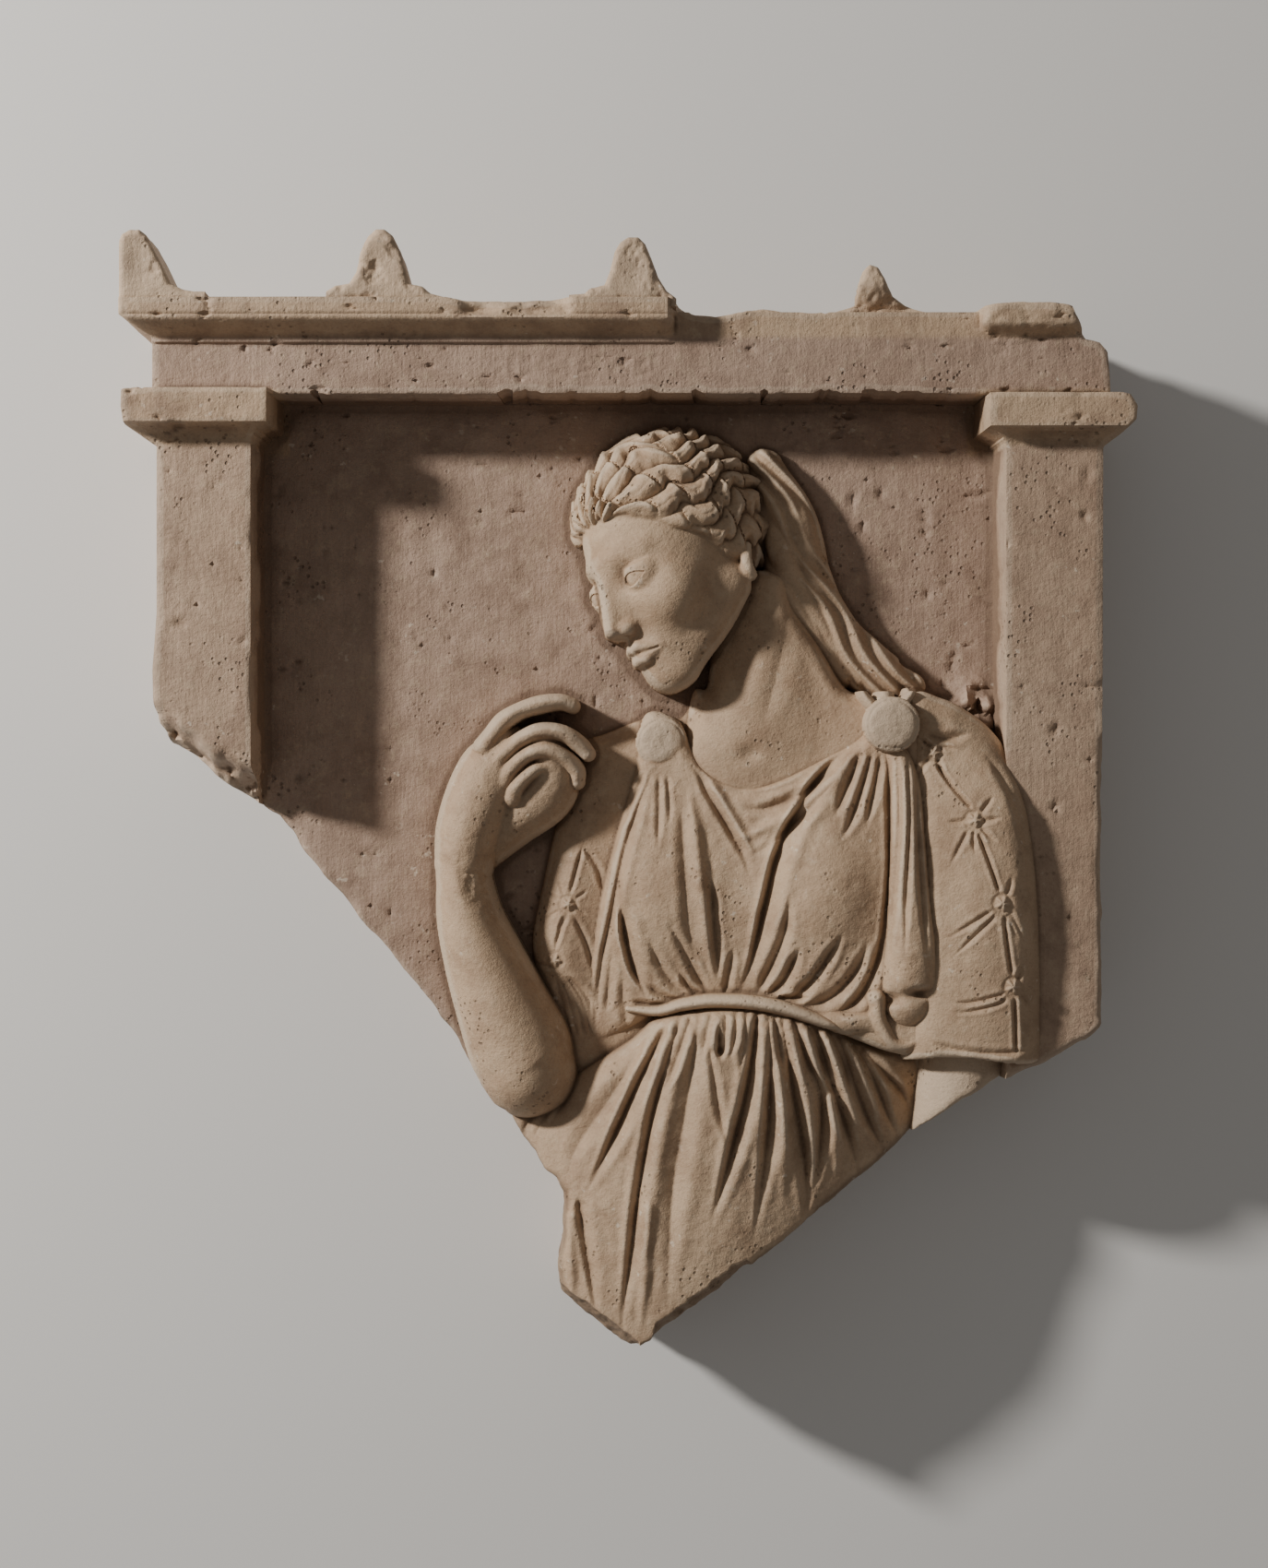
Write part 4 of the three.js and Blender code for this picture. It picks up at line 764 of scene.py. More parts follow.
def head(x, y):
    """Height of the head: each plan point is marched down on to its signed distance."""
    out = np.full(x.shape, BURIED)
    near = (x > -54) & (x < 130) & (y > 56) & (y < 278)
    px, py = x[near], y[near]
    z, running = np.full(px.shape, MARCH_TOP), np.ones(px.shape, bool)
    for _ in range(MARCH_STEPS):
        if not running.any():
            break
        v = np.stack([px[running] - HEAD_AT[0], py[running] - HEAD_AT[1],
                      (z[running] - HEAD_LIFT) / HEAD_PRESS], -1) / HEAD_SCALE
        d = head_distance(np.stack([v @ SIDEWAYS, v @ UPWARD, v @ FORWARD], -1)) * HEAD_SCALE * HEAD_PRESS
        z[running] -= d * MARCH_SHARE
        still = (np.abs(d) >= MARCH_NEAR) & (z[running] > SUNK)
        running[np.where(running)[0][~still]] = False
    out[near] = np.where(z > SUNK + 1, z, BURIED)
    return out


# ---- meshes -------------------------------------------------------------------------------------------
def lines(low, high, step):
    """Evenly spaced grid lines."""
    return np.linspace(low, high, int(round((high - low) / step)) + 1)


def snapped_grid(field, xs, ys, level):
    """Grid points with heights, those next to the outline moved on to it by bisection along grid edges."""
    gx, gy = (g.ravel().copy() for g in np.meshgrid(xs, ys, indexing="ij"))
    gz = field(gx, gy)
    valid = gz > level
    index = np.arange(gx.size).reshape(len(xs), len(ys))
    a = np.concatenate([index[:-1].ravel(), index[:, :-1].ravel()])
    b = np.concatenate([index[1:].ravel(), index[:, 1:].ravel()])
    crossing = valid[a] != valid[b]
    a, b = a[crossing], b[crossing]
    a, b = np.where(valid[a], a, b), np.where(valid[a], b, a)
    low, high = np.zeros(a.size), np.ones(a.size)
    for _ in range(8):
        middle = (low + high) / 2
        found = field(gx[a] + (gx[b] - gx[a]) * middle, gy[a] + (gy[b] - gy[a]) * middle) > level
        low, high = np.where(found, middle, low), np.where(found, high, middle)
    ex, ey = gx[a] + (gx[b] - gx[a]) * low, gy[a] + (gy[b] - gy[a]) * low
    ez = field(ex, ey)
    target, far = np.where(low < 0.5, a, b), np.where(low < 0.5, low, 1 - low)
    order = np.argsort(-far)
    for grid, value in ((gx, ex), (gy, ey), (gz, ez)):
        grid[target[order]] = value[order]
    valid[target] = True
    return gx, gy, gz, valid, index


def front_faces(gx, gy, gz, valid, index):
    """Triangles of every cell with three or four points, cut on the shorter diagonal, facing up."""
    corner = np.stack([index[:-1, :-1], index[1:, :-1], index[1:, 1:], index[:-1, 1:]], -1).reshape(-1, 4)
    have = valid[corner]
    whole = corner[have.all(axis=1)]
    p = np.stack([gx, gy, gz], -1)
    rising = (np.linalg.norm(p[whole[:, 0]] - p[whole[:, 2]], axis=1)
              <= np.linalg.norm(p[whole[:, 1]] - p[whole[:, 3]], axis=1))
    u, v = whole[rising], whole[~rising]
    faces = [u[:, [0, 1, 2]], u[:, [0, 2, 3]], v[:, [0, 1, 3]], v[:, [1, 2, 3]]]
    for lost in range(4):
        three = corner[(have.sum(axis=1) == 3) & ~have[:, lost]]
        faces.append(three[:, [k for k in range(4) if k != lost]])
    return np.vstack(faces)


def rim_of(faces, count):
    """Directed edges that no face runs the other way."""
    edges = np.vstack([faces[:, [0, 1]], faces[:, [1, 2]], faces[:, [2, 0]]])
    one, other = edges[:, 0] * count + edges[:, 1], edges[:, 1] * count + edges[:, 0]
    return edges[~np.isin(one, other)]


def whole_rims(faces, count):
    """Faces without those that meet only at a point, so that every rim is a simple loop."""
    for _ in range(12):
        rim = rim_of(faces, count)
        twice = np.bincount(rim[:, 0], minlength=count) > 1
        if not twice.any():
            break
        faces = faces[~twice[faces].any(axis=1)]
    return faces


def main_body(faces, count):
    """The largest connected set of faces: labels sink to the smallest vertex number they can reach."""
    label = np.arange(count)
    while True:
        before = label.copy()
        lowest = label[faces].min(axis=1)
        for k in range(3):
            np.minimum.at(label, faces[:, k], lowest)
        label = label[label]
        if (label == before).all():
            break
    owner = label[faces[:, 0]]
    return faces[owner == np.bincount(owner).argmax()]


def loops_of(rim):
    """Rims as ordered loops, by pointer doubling along the step from each vertex to the next."""
    names, flat = np.unique(rim, return_inverse=True)
    edge = flat.reshape(rim.shape)
    after = np.empty(len(names), int)
    after[edge[:, 0]] = edge[:, 1]
    label, jump = np.arange(len(names)), after.copy()
    rounds = int(math.ceil(math.log2(len(names)))) + 1
    for _ in range(rounds):
        label, jump = np.minimum(label, label[jump]), jump[jump]
    last = after == label
    rank, jump = np.where(last, 0, 1), np.where(last, np.arange(len(names)), after)
    for _ in range(rounds):
        rank, jump = rank + rank[jump], jump[jump]
    order = np.lexsort((-rank, label))
    cuts = np.flatnonzero(np.diff(label[order])) + 1
    return [names[part] for part in np.split(order, cuts)]


def floor_faces(loops, points):
    """Flat faces under the loops, looking down. Falls back to fans where the loops can't be filled cleanly."""
    flat = np.concatenate(loops)
    made = tessellate_polygon([[Vector((points[i][0], points[i][1], 0)) for i in loop] for loop in loops])
    faces = flat[np.array(made, int)]
    a, b, c = (points[faces[:, k], :2] for k in range(3))
    area = (b[:, 0] - a[:, 0]) * (c[:, 1] - a[:, 1]) - (b[:, 1] - a[:, 1]) * (c[:, 0] - a[:, 0])
    faces = np.where((area > 0)[:, None], faces[:, ::-1], faces)
    want = np.sort(np.concatenate([np.roll(loop, -1) * len(points) + loop for loop in loops]))
    rim = rim_of(faces, len(points))
    clean = len(rim) == len(want) and (np.sort(rim[:, 0] * len(points) + rim[:, 1]) == want).all()
    return faces if clean else None


def wall_push(x, y, z, top):
    """How far a wall stands back from the outline: uneven along the breaks, a little where it is worked."""
    under = ease(0, 9, top - z)
    broken = np.where(y < 60, 1.0, ease(30, 40, x) * ease(318, 326, y))
    lumps = 5.5 * np.clip(rugged(x + 0.7 * z, y - 1.3 * z, 26, 101, 4) + 0.25, 0, 1)
    lumps = lumps + 2.2 * np.clip(rugged(x * 0.9 - 1.9 * z, y + 1.6 * z, 9, 102, 3) + 0.2, 0, 1)
    worked = 0.5 * noise(x + z * 0.3, y + z, 12, 103)
    return (worked + (lumps - worked) * broken) * under


def column(field, xs, ys, floor=SUNK, rings=3, single=True):
    """Closed mesh of a field: its front, walls straight down from the rim, and a flat floor."""
    gx, gy, gz, valid, index = snapped_grid(field, xs, ys, max(floor, -22.0) + 1.5)
    faces = front_faces(gx, gy, gz, valid, index)
    faces = whole_rims(faces, gx.size)
    if single:
        faces = main_body(faces, gx.size)
    used, flat = np.unique(faces, return_inverse=True)
    faces = flat.reshape(faces.shape)
    points = np.stack([gx[used], gy[used], gz[used]], -1)
    rim = rim_of(faces, len(points))
    start = rim[:, 0]
    place = np.full(len(points), -1)
    place[start] = np.arange(len(start))
    x, y, top = points[start].T
    nudge = 0.5
    nx = inside(x + nudge, y, OUTLINE) - inside(x - nudge, y, OUTLINE)
    ny = inside(x, y + nudge, OUTLINE) - inside(x, y - nudge, OUTLINE)
    length = np.maximum(np.hypot(nx, ny), 1e-6)
    at_rim = ease(5.0, 3.0, inside(x, y, OUTLINE))
    parts, ring = [points], [start]
    for k in range(1, rings + 1):
        z = top + (floor - top) * k / rings
        push = wall_push(x, y, z, top) * at_rim
        ring.append(sum(len(p) for p in parts) + np.arange(len(start)))
        parts.append(np.stack([x + push * nx / length, y + push * ny / length, z], -1))
    everything = np.vstack(parts)
    a, b = place[rim[:, 0]], place[rim[:, 1]]
    shell = [faces]
    for upper, lower in zip(ring[:-1], ring[1:]):
        shell.append(np.stack([upper[b], upper[a], lower[a]], -1))
        shell.append(np.stack([upper[b], lower[a], lower[b]], -1))
    loops = [ring[-1][place[loop]] for loop in loops_of(rim)]
    base = floor_faces(loops, everything)
    if base is None:
        base, centres = [], []
        for k, loop in enumerate(loops):
            centre = len(everything) + k
            centres.append([*everything[loop, :2].mean(axis=0), floor])
            base.append(np.stack([np.roll(loop, -1), loop, np.full(len(loop), centre)], -1))
        everything, base = np.vstack([everything, centres]), np.vstack(base)
    shell.append(base)
    return everything, np.vstack(shell), len(points)


class Relief:
    """Height of the whole relief on a coarse grid with blurred copies, which tell hollows from raised edges."""
    step, left, bottom, grids = 1.6, -366.0, -406.0, None

    @classmethod
    def prepare(cls, fields):
        xs, ys = np.arange(cls.left, 367, cls.step), np.arange(cls.bottom, 407, cls.step)
        gx, gy = np.meshgrid(xs, ys, indexing="ij")
        whole = np.full(gx.shape, BURIED)
        for field, box in fields:
            i0, i1 = np.searchsorted(xs, [box[0], box[2]])
            j0, j1 = np.searchsorted(ys, [box[1], box[3]])
            part = field(gx[i0:i1, j0:j1].ravel(), gy[i0:i1, j0:j1].ravel()).reshape(i1 - i0, j1 - j0)
            whole[i0:i1, j0:j1] = np.maximum(whole[i0:i1, j0:j1], part)
        whole = np.maximum(whole, -4)
        cls.grids = [cls.blur(whole, 1), cls.blur(whole, 5)]

    @staticmethod
    def blur(grid, reach):
        """Three passes of a running mean each way."""
        for _ in range(3):
            for axis in (0, 1):
                padded = np.concatenate([np.repeat(grid.take([0], axis), reach + 1, axis), grid,
                                         np.repeat(grid.take([-1], axis), reach, axis)], axis)
                total = np.cumsum(padded, axis)
                n = grid.shape[axis]
                grid = (total.take(range(2 * reach + 1, 2 * reach + 1 + n), axis) - total.take(range(n), axis))
                grid = grid / (2 * reach + 1)
        return grid

    @classmethod
    def depth_below(cls, x, y, z, which):
        """How far a point lies below the blurred relief; below zero where it stands out."""
        u, v = (x - cls.left) / cls.step, (y - cls.bottom) / cls.step
        grid = cls.grids[which]
        u, v = np.clip(u, 0, grid.shape[0] - 1.001), np.clip(v, 0, grid.shape[1] - 1.001)
        i, j = u.astype(int), v.astype(int)
        fu, fv = u - i, v - j
        top = grid[i, j] * (1 - fu) + grid[i + 1, j] * fu
        low = grid[i, j + 1] * (1 - fu) + grid[i + 1, j + 1] * fu
        return top * (1 - fv) + low * fv - z


def make_piece(name, built, material, sharp=48.0):
    """Mesh object in the part's frame with its vertex attributes, declared as a piece of the block."""
    points, faces, front = built
    mesh = bpy.data.meshes.new(name)
    mesh.vertices.add(len(points))
    mesh.loops.add(faces.size)
    mesh.polygons.add(len(faces))
    metres = np.column_stack([points[:, 0], points[:, 1], points[:, 2] - BACK]) * MM
    mesh.vertices.foreach_set("co", metres.ravel())
    mesh.loops.foreach_set("vertex_index", faces.ravel().astype(np.int32))
    mesh.polygons.foreach_set("loop_start", np.arange(0, faces.size, 3, dtype=np.int32))
    mesh.update(calc_edges=True)
    mesh.validate()
    mesh.polygons.foreach_set("use_smooth", np.ones(len(mesh.polygons), bool))
    mesh.set_sharp_from_angle(angle=math.radians(sharp))
    x, y, z = points.T
    on_front = np.arange(len(points)) < front
    # The depth below the blurred relief drives the stone's painted shade in hollows and its painted highlight on
    # raised edges.
    fine = np.where(on_front, Relief.depth_below(x, y, z, 0) / 2.2, 0)
    broad = np.where(on_front, Relief.depth_below(x, y, z, 1) / 14.0, 0)
    moulded = ease(324, 330, y) + (np.abs(x) > 250) * ease(246, 252, y) * ease(292, 288, y)
    warm = np.clip(np.maximum(moulded, 0.45 * ease(266, 270, np.abs(x)) * ease(286, 280, y)), 0, 1)
    raw = np.where(on_front, ease(5, 0, inside(x, y, OUTLINE)), 1.0) * np.where(y < 60, 1.0, 0.0)
    for label, values in (("hollow", fine), ("depth", broad), ("raw", raw), ("warm", warm)):
        layer = mesh.attributes.new(label, "FLOAT", "POINT")
        layer.data.foreach_set("value", np.clip(values, -2, 2).astype(np.float32))
    mesh.materials.append(material)
    piece = bpy.data.objects.new(name, mesh)
    bpy.context.scene.collection.objects.link(piece)
    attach(piece, BODY)
    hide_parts(NODE)
    return piece


# ---- stone --------------------------------------------------------------------------------------------
class Value:
    """Socket of a node tree with arithmetic, so that shader maths reads as formulas."""

    def __init__(self, tree, socket):
        self.tree, self.socket = tree, socket

    def put(self, node, key, value):
        """Link or set one input of a node."""
        if isinstance(value, Value):
            self.tree.links.new(value.socket, node.inputs[key])
        else:
            node.inputs[key].default_value = value

    def maths(self, operation, *values):
        """Math node of an operation on values or numbers."""
        node = self.tree.nodes.new("ShaderNodeMath")
        node.operation = operation
        for key, value in enumerate(values):
            self.put(node, key, value)
        return Value(self.tree, node.outputs[0])

    def __add__(self, other):
        return self.maths("ADD", self, other)

    def __sub__(self, other):
        return self.maths("SUBTRACT", self, other)

    def __rsub__(self, other):
        return self.maths("SUBTRACT", other, self)

    def __mul__(self, other):
        return self.maths("MULTIPLY", self, other)

    __radd__, __rmul__ = __add__, __mul__

    def ramp(self, low, high, to_low=0.0, to_high=1.0):
        """Linear map of one range on to another, held at its ends."""
        return self.node("ShaderNodeMapRange", "Result", Value=self, **{
            "From Min": low, "From Max": high, "To Min": to_low, "To Max": to_high})

    def node(self, kind, output, settings=(), **inputs):
        """Any other node: its settings, its inputs by name, and the output wanted."""
        made = self.tree.nodes.new(kind)
        for key, value in dict(settings).items():
            setattr(made, key, value)
        for key, value in inputs.items():
            self.put(made, key, value)
        return Value(self.tree, made.outputs[output])


def blend(a, b, share):
    """Mix of two colours by a share."""
    made = share.tree.nodes.new("ShaderNodeMix")
    made.data_type = "RGBA"
    share.put(made, 0, share)
    for key, value in ((6, a), (7, b)):
        share.put(made, key, value if isinstance(value, Value) else (*value, 1.0))
    return Value(share.tree, made.outputs[2])


# Stone colours: the pale and middle tone of the yellower stone, then ochre bloom, a painted highlight on raised
# edges, earth with painted shade in the hollows, bare breaks, crystals and pits.
WARM = ((0.49, 0.355, 0.235), (0.405, 0.280, 0.182))
OCHRE, RIDGE_HIGHLIGHT, EARTH_AND_SHADE = (0.50, 0.39, 0.27), (0.62, 0.52, 0.40), (0.105, 0.060, 0.034)
BARE, CRYSTAL, PIT = (0.44, 0.35, 0.26), (0.66, 0.57, 0.46), (0.10, 0.066, 0.044)


def stone(name, pale, mid, dark, tooled):
    """Weathered marble: mottled colour, earth brown and painted shade in hollows, a painted highlight on raised
    edges, with crystals, pits and stains.
    """
    material = bpy.data.materials.new(name)
    material.use_nodes = True
    tree = material.node_tree
    tree.nodes.clear()
    out = tree.nodes.new("ShaderNodeOutputMaterial")
    shader = tree.nodes.new("ShaderNodeBsdfPrincipled")
    tree.links.new(shader.outputs[0], out.inputs[0])
    place = Value(tree, tree.nodes.new("ShaderNodeTexCoord").outputs["Object"])

    def noise_at(scale, detail=4.0, rough=0.6, vector=place):
        return place.node("ShaderNodeTexNoise", "Fac", Vector=vector, Scale=scale, Detail=detail,
                          Roughness=rough)

    def attribute(label):
        return place.node("ShaderNodeAttribute", "Fac", {"attribute_name": label})

    hollow, depth, raw, warm = (attribute(label) for label in ("hollow", "depth", "raw", "warm"))
    cloud, mottle, blotch = noise_at(8.0, 5.0), noise_at(38.0, 6.0, 0.65), noise_at(120.0, 5.0, 0.7)
    speckle, grain = noise_at(420.0, 3.0, 0.75), noise_at(900.0, 2.0, 0.8)
    upright = place.node("ShaderNodeMapping", "Vector", Vector=place, Scale=(1.0, 0.11, 1.0))
    streak = noise_at(420.0, 3.0, 0.6, upright)
    colour = blend(blend(mid, WARM[1], warm), blend(pale, WARM[0], warm), cloud.ramp(0.36, 0.66))
    colour = blend(colour, dark, mottle.ramp(0.46, 0.72, 0.0, 0.62))
    colour = blend(colour, OCHRE, blotch.ramp(0.52, 0.74, 0.0, 0.5))
    colour = blend(colour, dark, streak.ramp(0.5, 0.72, 0.0, 0.14 * tooled))
    colour = blend(colour, dark, speckle.ramp(0.52, 0.68, 0.0, 0.35))
    # Painted highlight: where the relief stands above its fine blurred copy, on raised edges and fold ridges, the
    # colour is lightened.
    rim = (hollow * -1.0 + blotch * 0.8 - 0.62).ramp(0.0, 0.5)
    colour = blend(colour, RIDGE_HIGHLIGHT, rim * (0.42 - 0.24 * tooled))
    # Painted shade with earth: points below the blurred relief, in hollows, creases and between parts, are darkened
    # towards dark brown.
    soil_and_shade = (hollow * 0.8 + depth * 0.8 + mottle * 0.6 - 0.5).ramp(0.0, 0.9)
    colour = blend(colour, EARTH_AND_SHADE, soil_and_shade * 0.60)
    colour = blend(colour, BARE, raw * speckle.ramp(0.3, 0.7, 0.35, 1.0) * 0.4)
    flecks = noise_at(170.0, 2.0, 0.5).ramp(0.66, 0.72) * noise_at(30.0, 2.0).ramp(0.5, 0.62)
    colour = blend(colour, CRYSTAL, flecks * 0.5)
    pit = place.node("ShaderNodeTexVoronoi", "Distance", Vector=place, Scale=190.0)
    pitted = pit.ramp(0.12, 0.28, 1.0, 0.0) * noise_at(21.0, 3.0).ramp(0.53, 0.62)
    colour = blend(colour, PIT, pitted * 0.5)
    relief = (mottle * 1.2 + blotch * 0.75 + speckle * 0.42 + grain * 0.16 + streak * (0.30 * tooled)
              - pitted * 0.9 + raw * noise_at(90.0, 8.0) * 1.6)
    bump = place.node("ShaderNodeBump", "Normal", Height=relief, Strength=0.9, Distance=0.0013)
    place.put(shader, "Base Color", colour)
    place.put(shader, "Roughness", (blotch * 0.25 + soil_and_shade * 0.12 + 0.52).ramp(0.0, 1.0))
    place.put(shader, "Normal", bump)
    shader.inputs["IOR"].default_value = 1.5
    shader.inputs["Specular IOR Level"].default_value = 0.28
    return material


def stone_of(kind):
    """The stone of the frame or of the figure, made once."""
    if kind in bpy.data.materials:
        return bpy.data.materials[kind]
    if kind == "marble_frame":
        return stone(kind, (0.40, 0.285, 0.215), (0.33, 0.228, 0.168), (0.205, 0.132, 0.094), 1.0)
    return stone(kind, *WARM, (0.25, 0.155, 0.096), 0.12)


def plain(name, colour, roughness):
    """Plain studio surface."""
    material = bpy.data.materials.new(name)
    material.use_nodes = True
    shader = material.node_tree.nodes["Principled BSDF"]
    shader.inputs["Base Color"].default_value = (*colour, 1.0)
    shader.inputs["Roughness"].default_value = roughness
    return material


KEY_TOWARD, KEY_DISTANCE, KEY_LIFT, KEY_SIZE = (-0.80, 0.411, 0.437), 3.2, 0.08, 0.32
FLOOR_HALF, FLOOR_DROP = 6.0, 0.0004
CAMERA_AT, CAMERA_LENS, CAMERA_SENSOR = (0.00396, 0.00759), 60.96, 36.0


# ---- add-on -------------------------------------------------------------------------------------------
class SteleSettings(bpy.types.PropertyGroup):
    """Sizes of the meshes and of the studio."""
    frame_step: bpy.props.FloatProperty(
        name="Frame step", description="Grid step on the block's front, in millimetres", default=2.9, min=1.5)
    figure_step: bpy.props.FloatProperty(
        name="Figure step", description="Grid step on the figure, in millimetres", default=0.92, min=0.5)
    head_step: bpy.props.FloatProperty(
        name="Head step", description="Grid step on the head, in millimetres", default=0.64, min=0.4)
    key_power: bpy.props.FloatProperty(
        name="Key light", description="Power of the key light", default=150.0, unit="POWER")
    fill: bpy.props.FloatProperty(
        name="Fill", description="Strength of the soft light all round", default=0.20, min=0.0)
    camera_height: bpy.props.FloatProperty(
        name="Camera height", description="Height of the camera above the floor", default=2.018, unit="LENGTH")


class PieceOperator:
    """Common part of the operators that build pieces."""
    bl_options = {"REGISTER", "UNDO"}

    @staticmethod
    def settings(context):
        return context.scene.stele

    @staticmethod
    def region(fields, box, step, name, kind, single=True):
        """Piece of the highest of some fields over a box, ended by the block's outline."""
        def highest(x, y):
            return np.max([field(x, y) for field in fields], axis=0)
        xs, ys = lines(box[0], box[2], step), lines(box[1], box[3], step)
        built = column(over_block(highest), xs, ys, single=single)
        return make_piece(name, built, stone_of(kind))


class STELE_OT_block(PieceOperator, bpy.types.Operator):
    """Build the block: ground, pilasters, epistyle, capitals and cornice as one height field with rough walls"""
    bl_idname, bl_label = "stele.block", "Block"

    def execute(self, context):
        step = self.settings(context).frame_step
        sides = [lines(-362, -341.5, 2.0), lines(-340.5, -272, step), np.array([-270.6, -269.2, -268.0]),
                 lines(-265.5, 265.5, step), np.array([268.0, 269.2, 270.6]), lines(272, 342, step),
                 lines(344, 362, 2.0)]
        rise = [lines(-402, 243, step), lines(246.5, 284.5, 1.5), np.array([285.4, 286.0, 286.6]),
                lines(287.4, 325, 1.45), lines(326, 352.2, 1.2)]
        built = column(temple_front, np.concatenate(sides), np.concatenate(rise), floor=BACK, rings=16)
        make_piece("block", built, stone_of("marble_frame"))
        return {"FINISHED"}


class STELE_OT_antefixes(PieceOperator, bpy.types.Operator):
    """Build the ornaments that stand on the cornice"""
    bl_idname, bl_label = "stele.antefixes", "Antefixes"

    def execute(self, context):
        def field(x, y):
            return np.where(y > 346, antefix(x, y), BURIED)
        for k, (left, right) in enumerate(((-362, -300), (-214, -130), (-42, 34), (160, 204))):
            built = column(field, lines(left, right, 1.1), lines(344, 402, 1.1), floor=26.0, rings=6)
            make_piece("antefix_%d" % (k + 1), built, stone_of("marble_frame"))
        return {"FINISHED"}


class STELE_OT_dress(PieceOperator, bpy.types.Operator):
    """Build the upper dress with the far sleeve and the round brooches"""
    bl_idname, bl_label = "stele.dress", "Upper dress"

    def execute(self, context):
        self.region([far_sleeve, bodice, brooches], (-76, -218, 234, 74), self.settings(context).figure_step,
                    "dress", "marble_figure")
        return {"FINISHED"}


class STELE_OT_skirt(PieceOperator, bpy.types.Operator):
    """Build the skirt with the belt and the cloth at the far side"""
    bl_idname, bl_label = "stele.skirt", "Skirt and belt"

    def execute(self, context):
        self.region([skirt, side_folds, belt], (-104, -403, 218, -142), self.settings(context).figure_step,
                    "skirt", "marble_figure")
        return {"FINISHED"}


class STELE_OT_sleeve(PieceOperator, bpy.types.Operator):
    """Build the near sleeve with its star buttons, the bare elbow and the bagged cloth"""
    bl_idname, bl_label = "stele.sleeve", "Near sleeve"

    def execute(self, context):
        elbow = lambda x, y: limb(x, y, ELBOW)
        self.region([near_sleeve, pouch, pouch_end, elbow], (136, -272, 304, 80),
                    self.settings(context).figure_step, "near_sleeve", "marble_figure", False)
        return {"FINISHED"}


class STELE_OT_throat(PieceOperator, bpy.types.Operator):
    """Build the neck, the chest above the dress and the hair that falls behind"""
    bl_idname, bl_label = "stele.throat", "Neck and hair behind it"

    def execute(self, context):
        self.region([throat, hair_fall], (30, -12, 222, 262), self.settings(context).figure_step * 0.9,
                    "neck", "marble_figure")
        return {"FINISHED"}


class STELE_OT_head(PieceOperator, bpy.types.Operator):
    """Build the head, turned and bent towards the raised hand"""
    bl_idname, bl_label = "stele.head", "Head"

    def execute(self, context):
        self.region([head], (-54, 56, 130, 278), self.settings(context).head_step, "head", "marble_figure")
        return {"FINISHED"}


class STELE_OT_arm(PieceOperator, bpy.types.Operator):
    """Build the raised forearm and hand"""
    bl_idname, bl_label = "stele.arm", "Raised arm"

    def execute(self, context):
        self.region([forearm, hand], (-146, -246, -20, 82), self.settings(context).figure_step,
                    "raised_arm", "marble_figure")
        return {"FINISHED"}


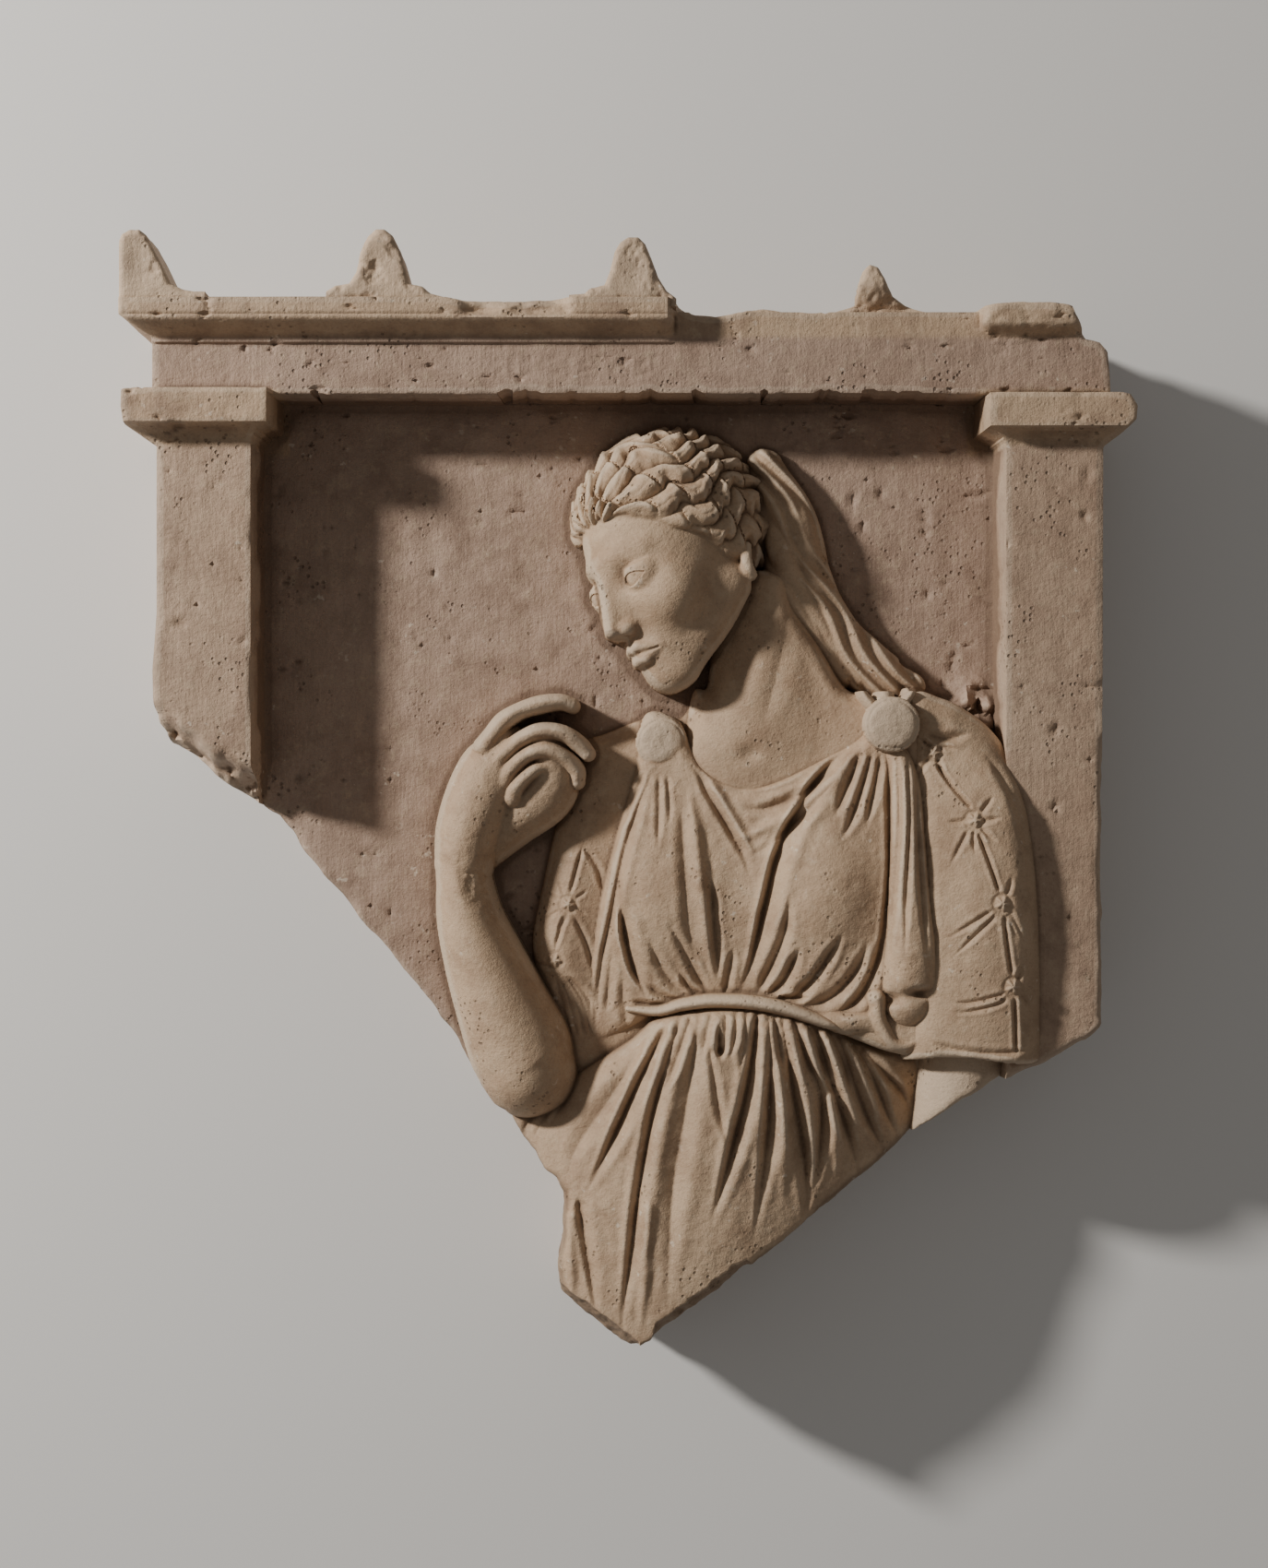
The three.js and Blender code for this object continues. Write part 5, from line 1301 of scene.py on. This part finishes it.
class STELE_OT_stage(PieceOperator, bpy.types.Operator):
    """Lay the pale floor and set up the soft key light, the fill and the camera"""
    bl_idname, bl_label = "stele.stage", "Studio"

    def execute(self, context):
        settings, scene = self.settings(context), context.scene
        side = FLOOR_HALF
        mesh = bpy.data.meshes.new("floor")
        corners = [(-side, -side, 0), (side, -side, 0), (side, side, 0), (-side, side, 0)]
        mesh.from_pydata(corners, [], [(0, 1, 2, 3)])
        mesh.materials.append(plain("floor_paint", (0.72, 0.71, 0.69), 0.9))
        floor = bpy.data.objects.new("floor", mesh)
        floor.location.z = -FLOOR_DROP
        lamp = bpy.data.lights.new("key", "AREA")
        lamp.shape, lamp.size, lamp.energy = "DISK", KEY_SIZE, settings.key_power
        lamp.color = (1.0, 0.965, 0.92)
        key = bpy.data.objects.new("key", lamp)
        toward = Vector(KEY_TOWARD)
        key.location = toward * KEY_DISTANCE + Vector((0, 0, KEY_LIFT))
        key.rotation_mode = "QUATERNION"
        key.rotation_quaternion = toward.to_track_quat("Z", "Y")
        camera = bpy.data.objects.new("camera", bpy.data.cameras.new("camera"))
        camera.data.lens, camera.data.sensor_width = CAMERA_LENS, CAMERA_SENSOR
        camera.location = (*CAMERA_AT, settings.camera_height)
        for made in (floor, key, camera):
            scene.collection.objects.link(made)
        floor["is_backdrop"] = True
        scene.camera = camera
        world = bpy.data.worlds.new("studio")
        world.use_nodes = True
        sky = world.node_tree.nodes["Background"]
        sky.inputs["Color"].default_value = (1.0, 0.97, 0.94, 1.0)
        sky.inputs["Strength"].default_value = settings.fill
        scene.world = world
        return {"FINISHED"}


PIECES = (STELE_OT_block, STELE_OT_antefixes, STELE_OT_dress, STELE_OT_skirt, STELE_OT_sleeve, STELE_OT_throat,
          STELE_OT_head, STELE_OT_arm)


class STELE_PT_panel(bpy.types.Panel):
    """Sidebar panel with a button for each piece and the studio"""
    bl_idname, bl_label = "STELE_PT_panel", "Grave stele"
    bl_space_type, bl_region_type, bl_category = "VIEW_3D", "UI", "Stele"

    def draw(self, context):
        for name in SteleSettings.__annotations__:
            self.layout.prop(context.scene.stele, name)
        for operator in (*PIECES, STELE_OT_stage):
            self.layout.operator(operator.bl_idname)


CLASSES = (SteleSettings, *PIECES, STELE_OT_stage, STELE_PT_panel)


def register():
    """Register the classes and the scene's settings."""
    for made in CLASSES:
        bpy.utils.register_class(made)
    bpy.types.Scene.stele = bpy.props.PointerProperty(type=SteleSettings)


def unregister():
    """Take them away again."""
    del bpy.types.Scene.stele
    for made in reversed(CLASSES):
        bpy.utils.unregister_class(made)


def main():
    """Build every piece and the studio in order."""
    register()
    woman = (-146, -403, 304, 278)
    Relief.prepare([(temple_front, (-366, -406, 366, 353)), (far_sleeve, woman), (bodice, woman), (skirt, woman),
                    (side_folds, woman), (belt, woman), (near_sleeve, woman), (pouch, woman), (pouch_end, woman),
                    (throat, woman), (hair_fall, woman), (forearm, woman), (hand, woman), (head, woman)])
    for operator in (*PIECES, STELE_OT_stage):
        group, name = operator.bl_idname.split(".")
        getattr(getattr(bpy.ops, group), name)()
    low, high = np.full(3, 1e9), np.full(3, -1e9)
    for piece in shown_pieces():
        box = np.array([piece.matrix_world @ Vector(c) for c in piece.bound_box])
        low, high = np.minimum(low, box.min(axis=0)), np.maximum(high, box.max(axis=0))


if __name__ == "__main__":
    main()
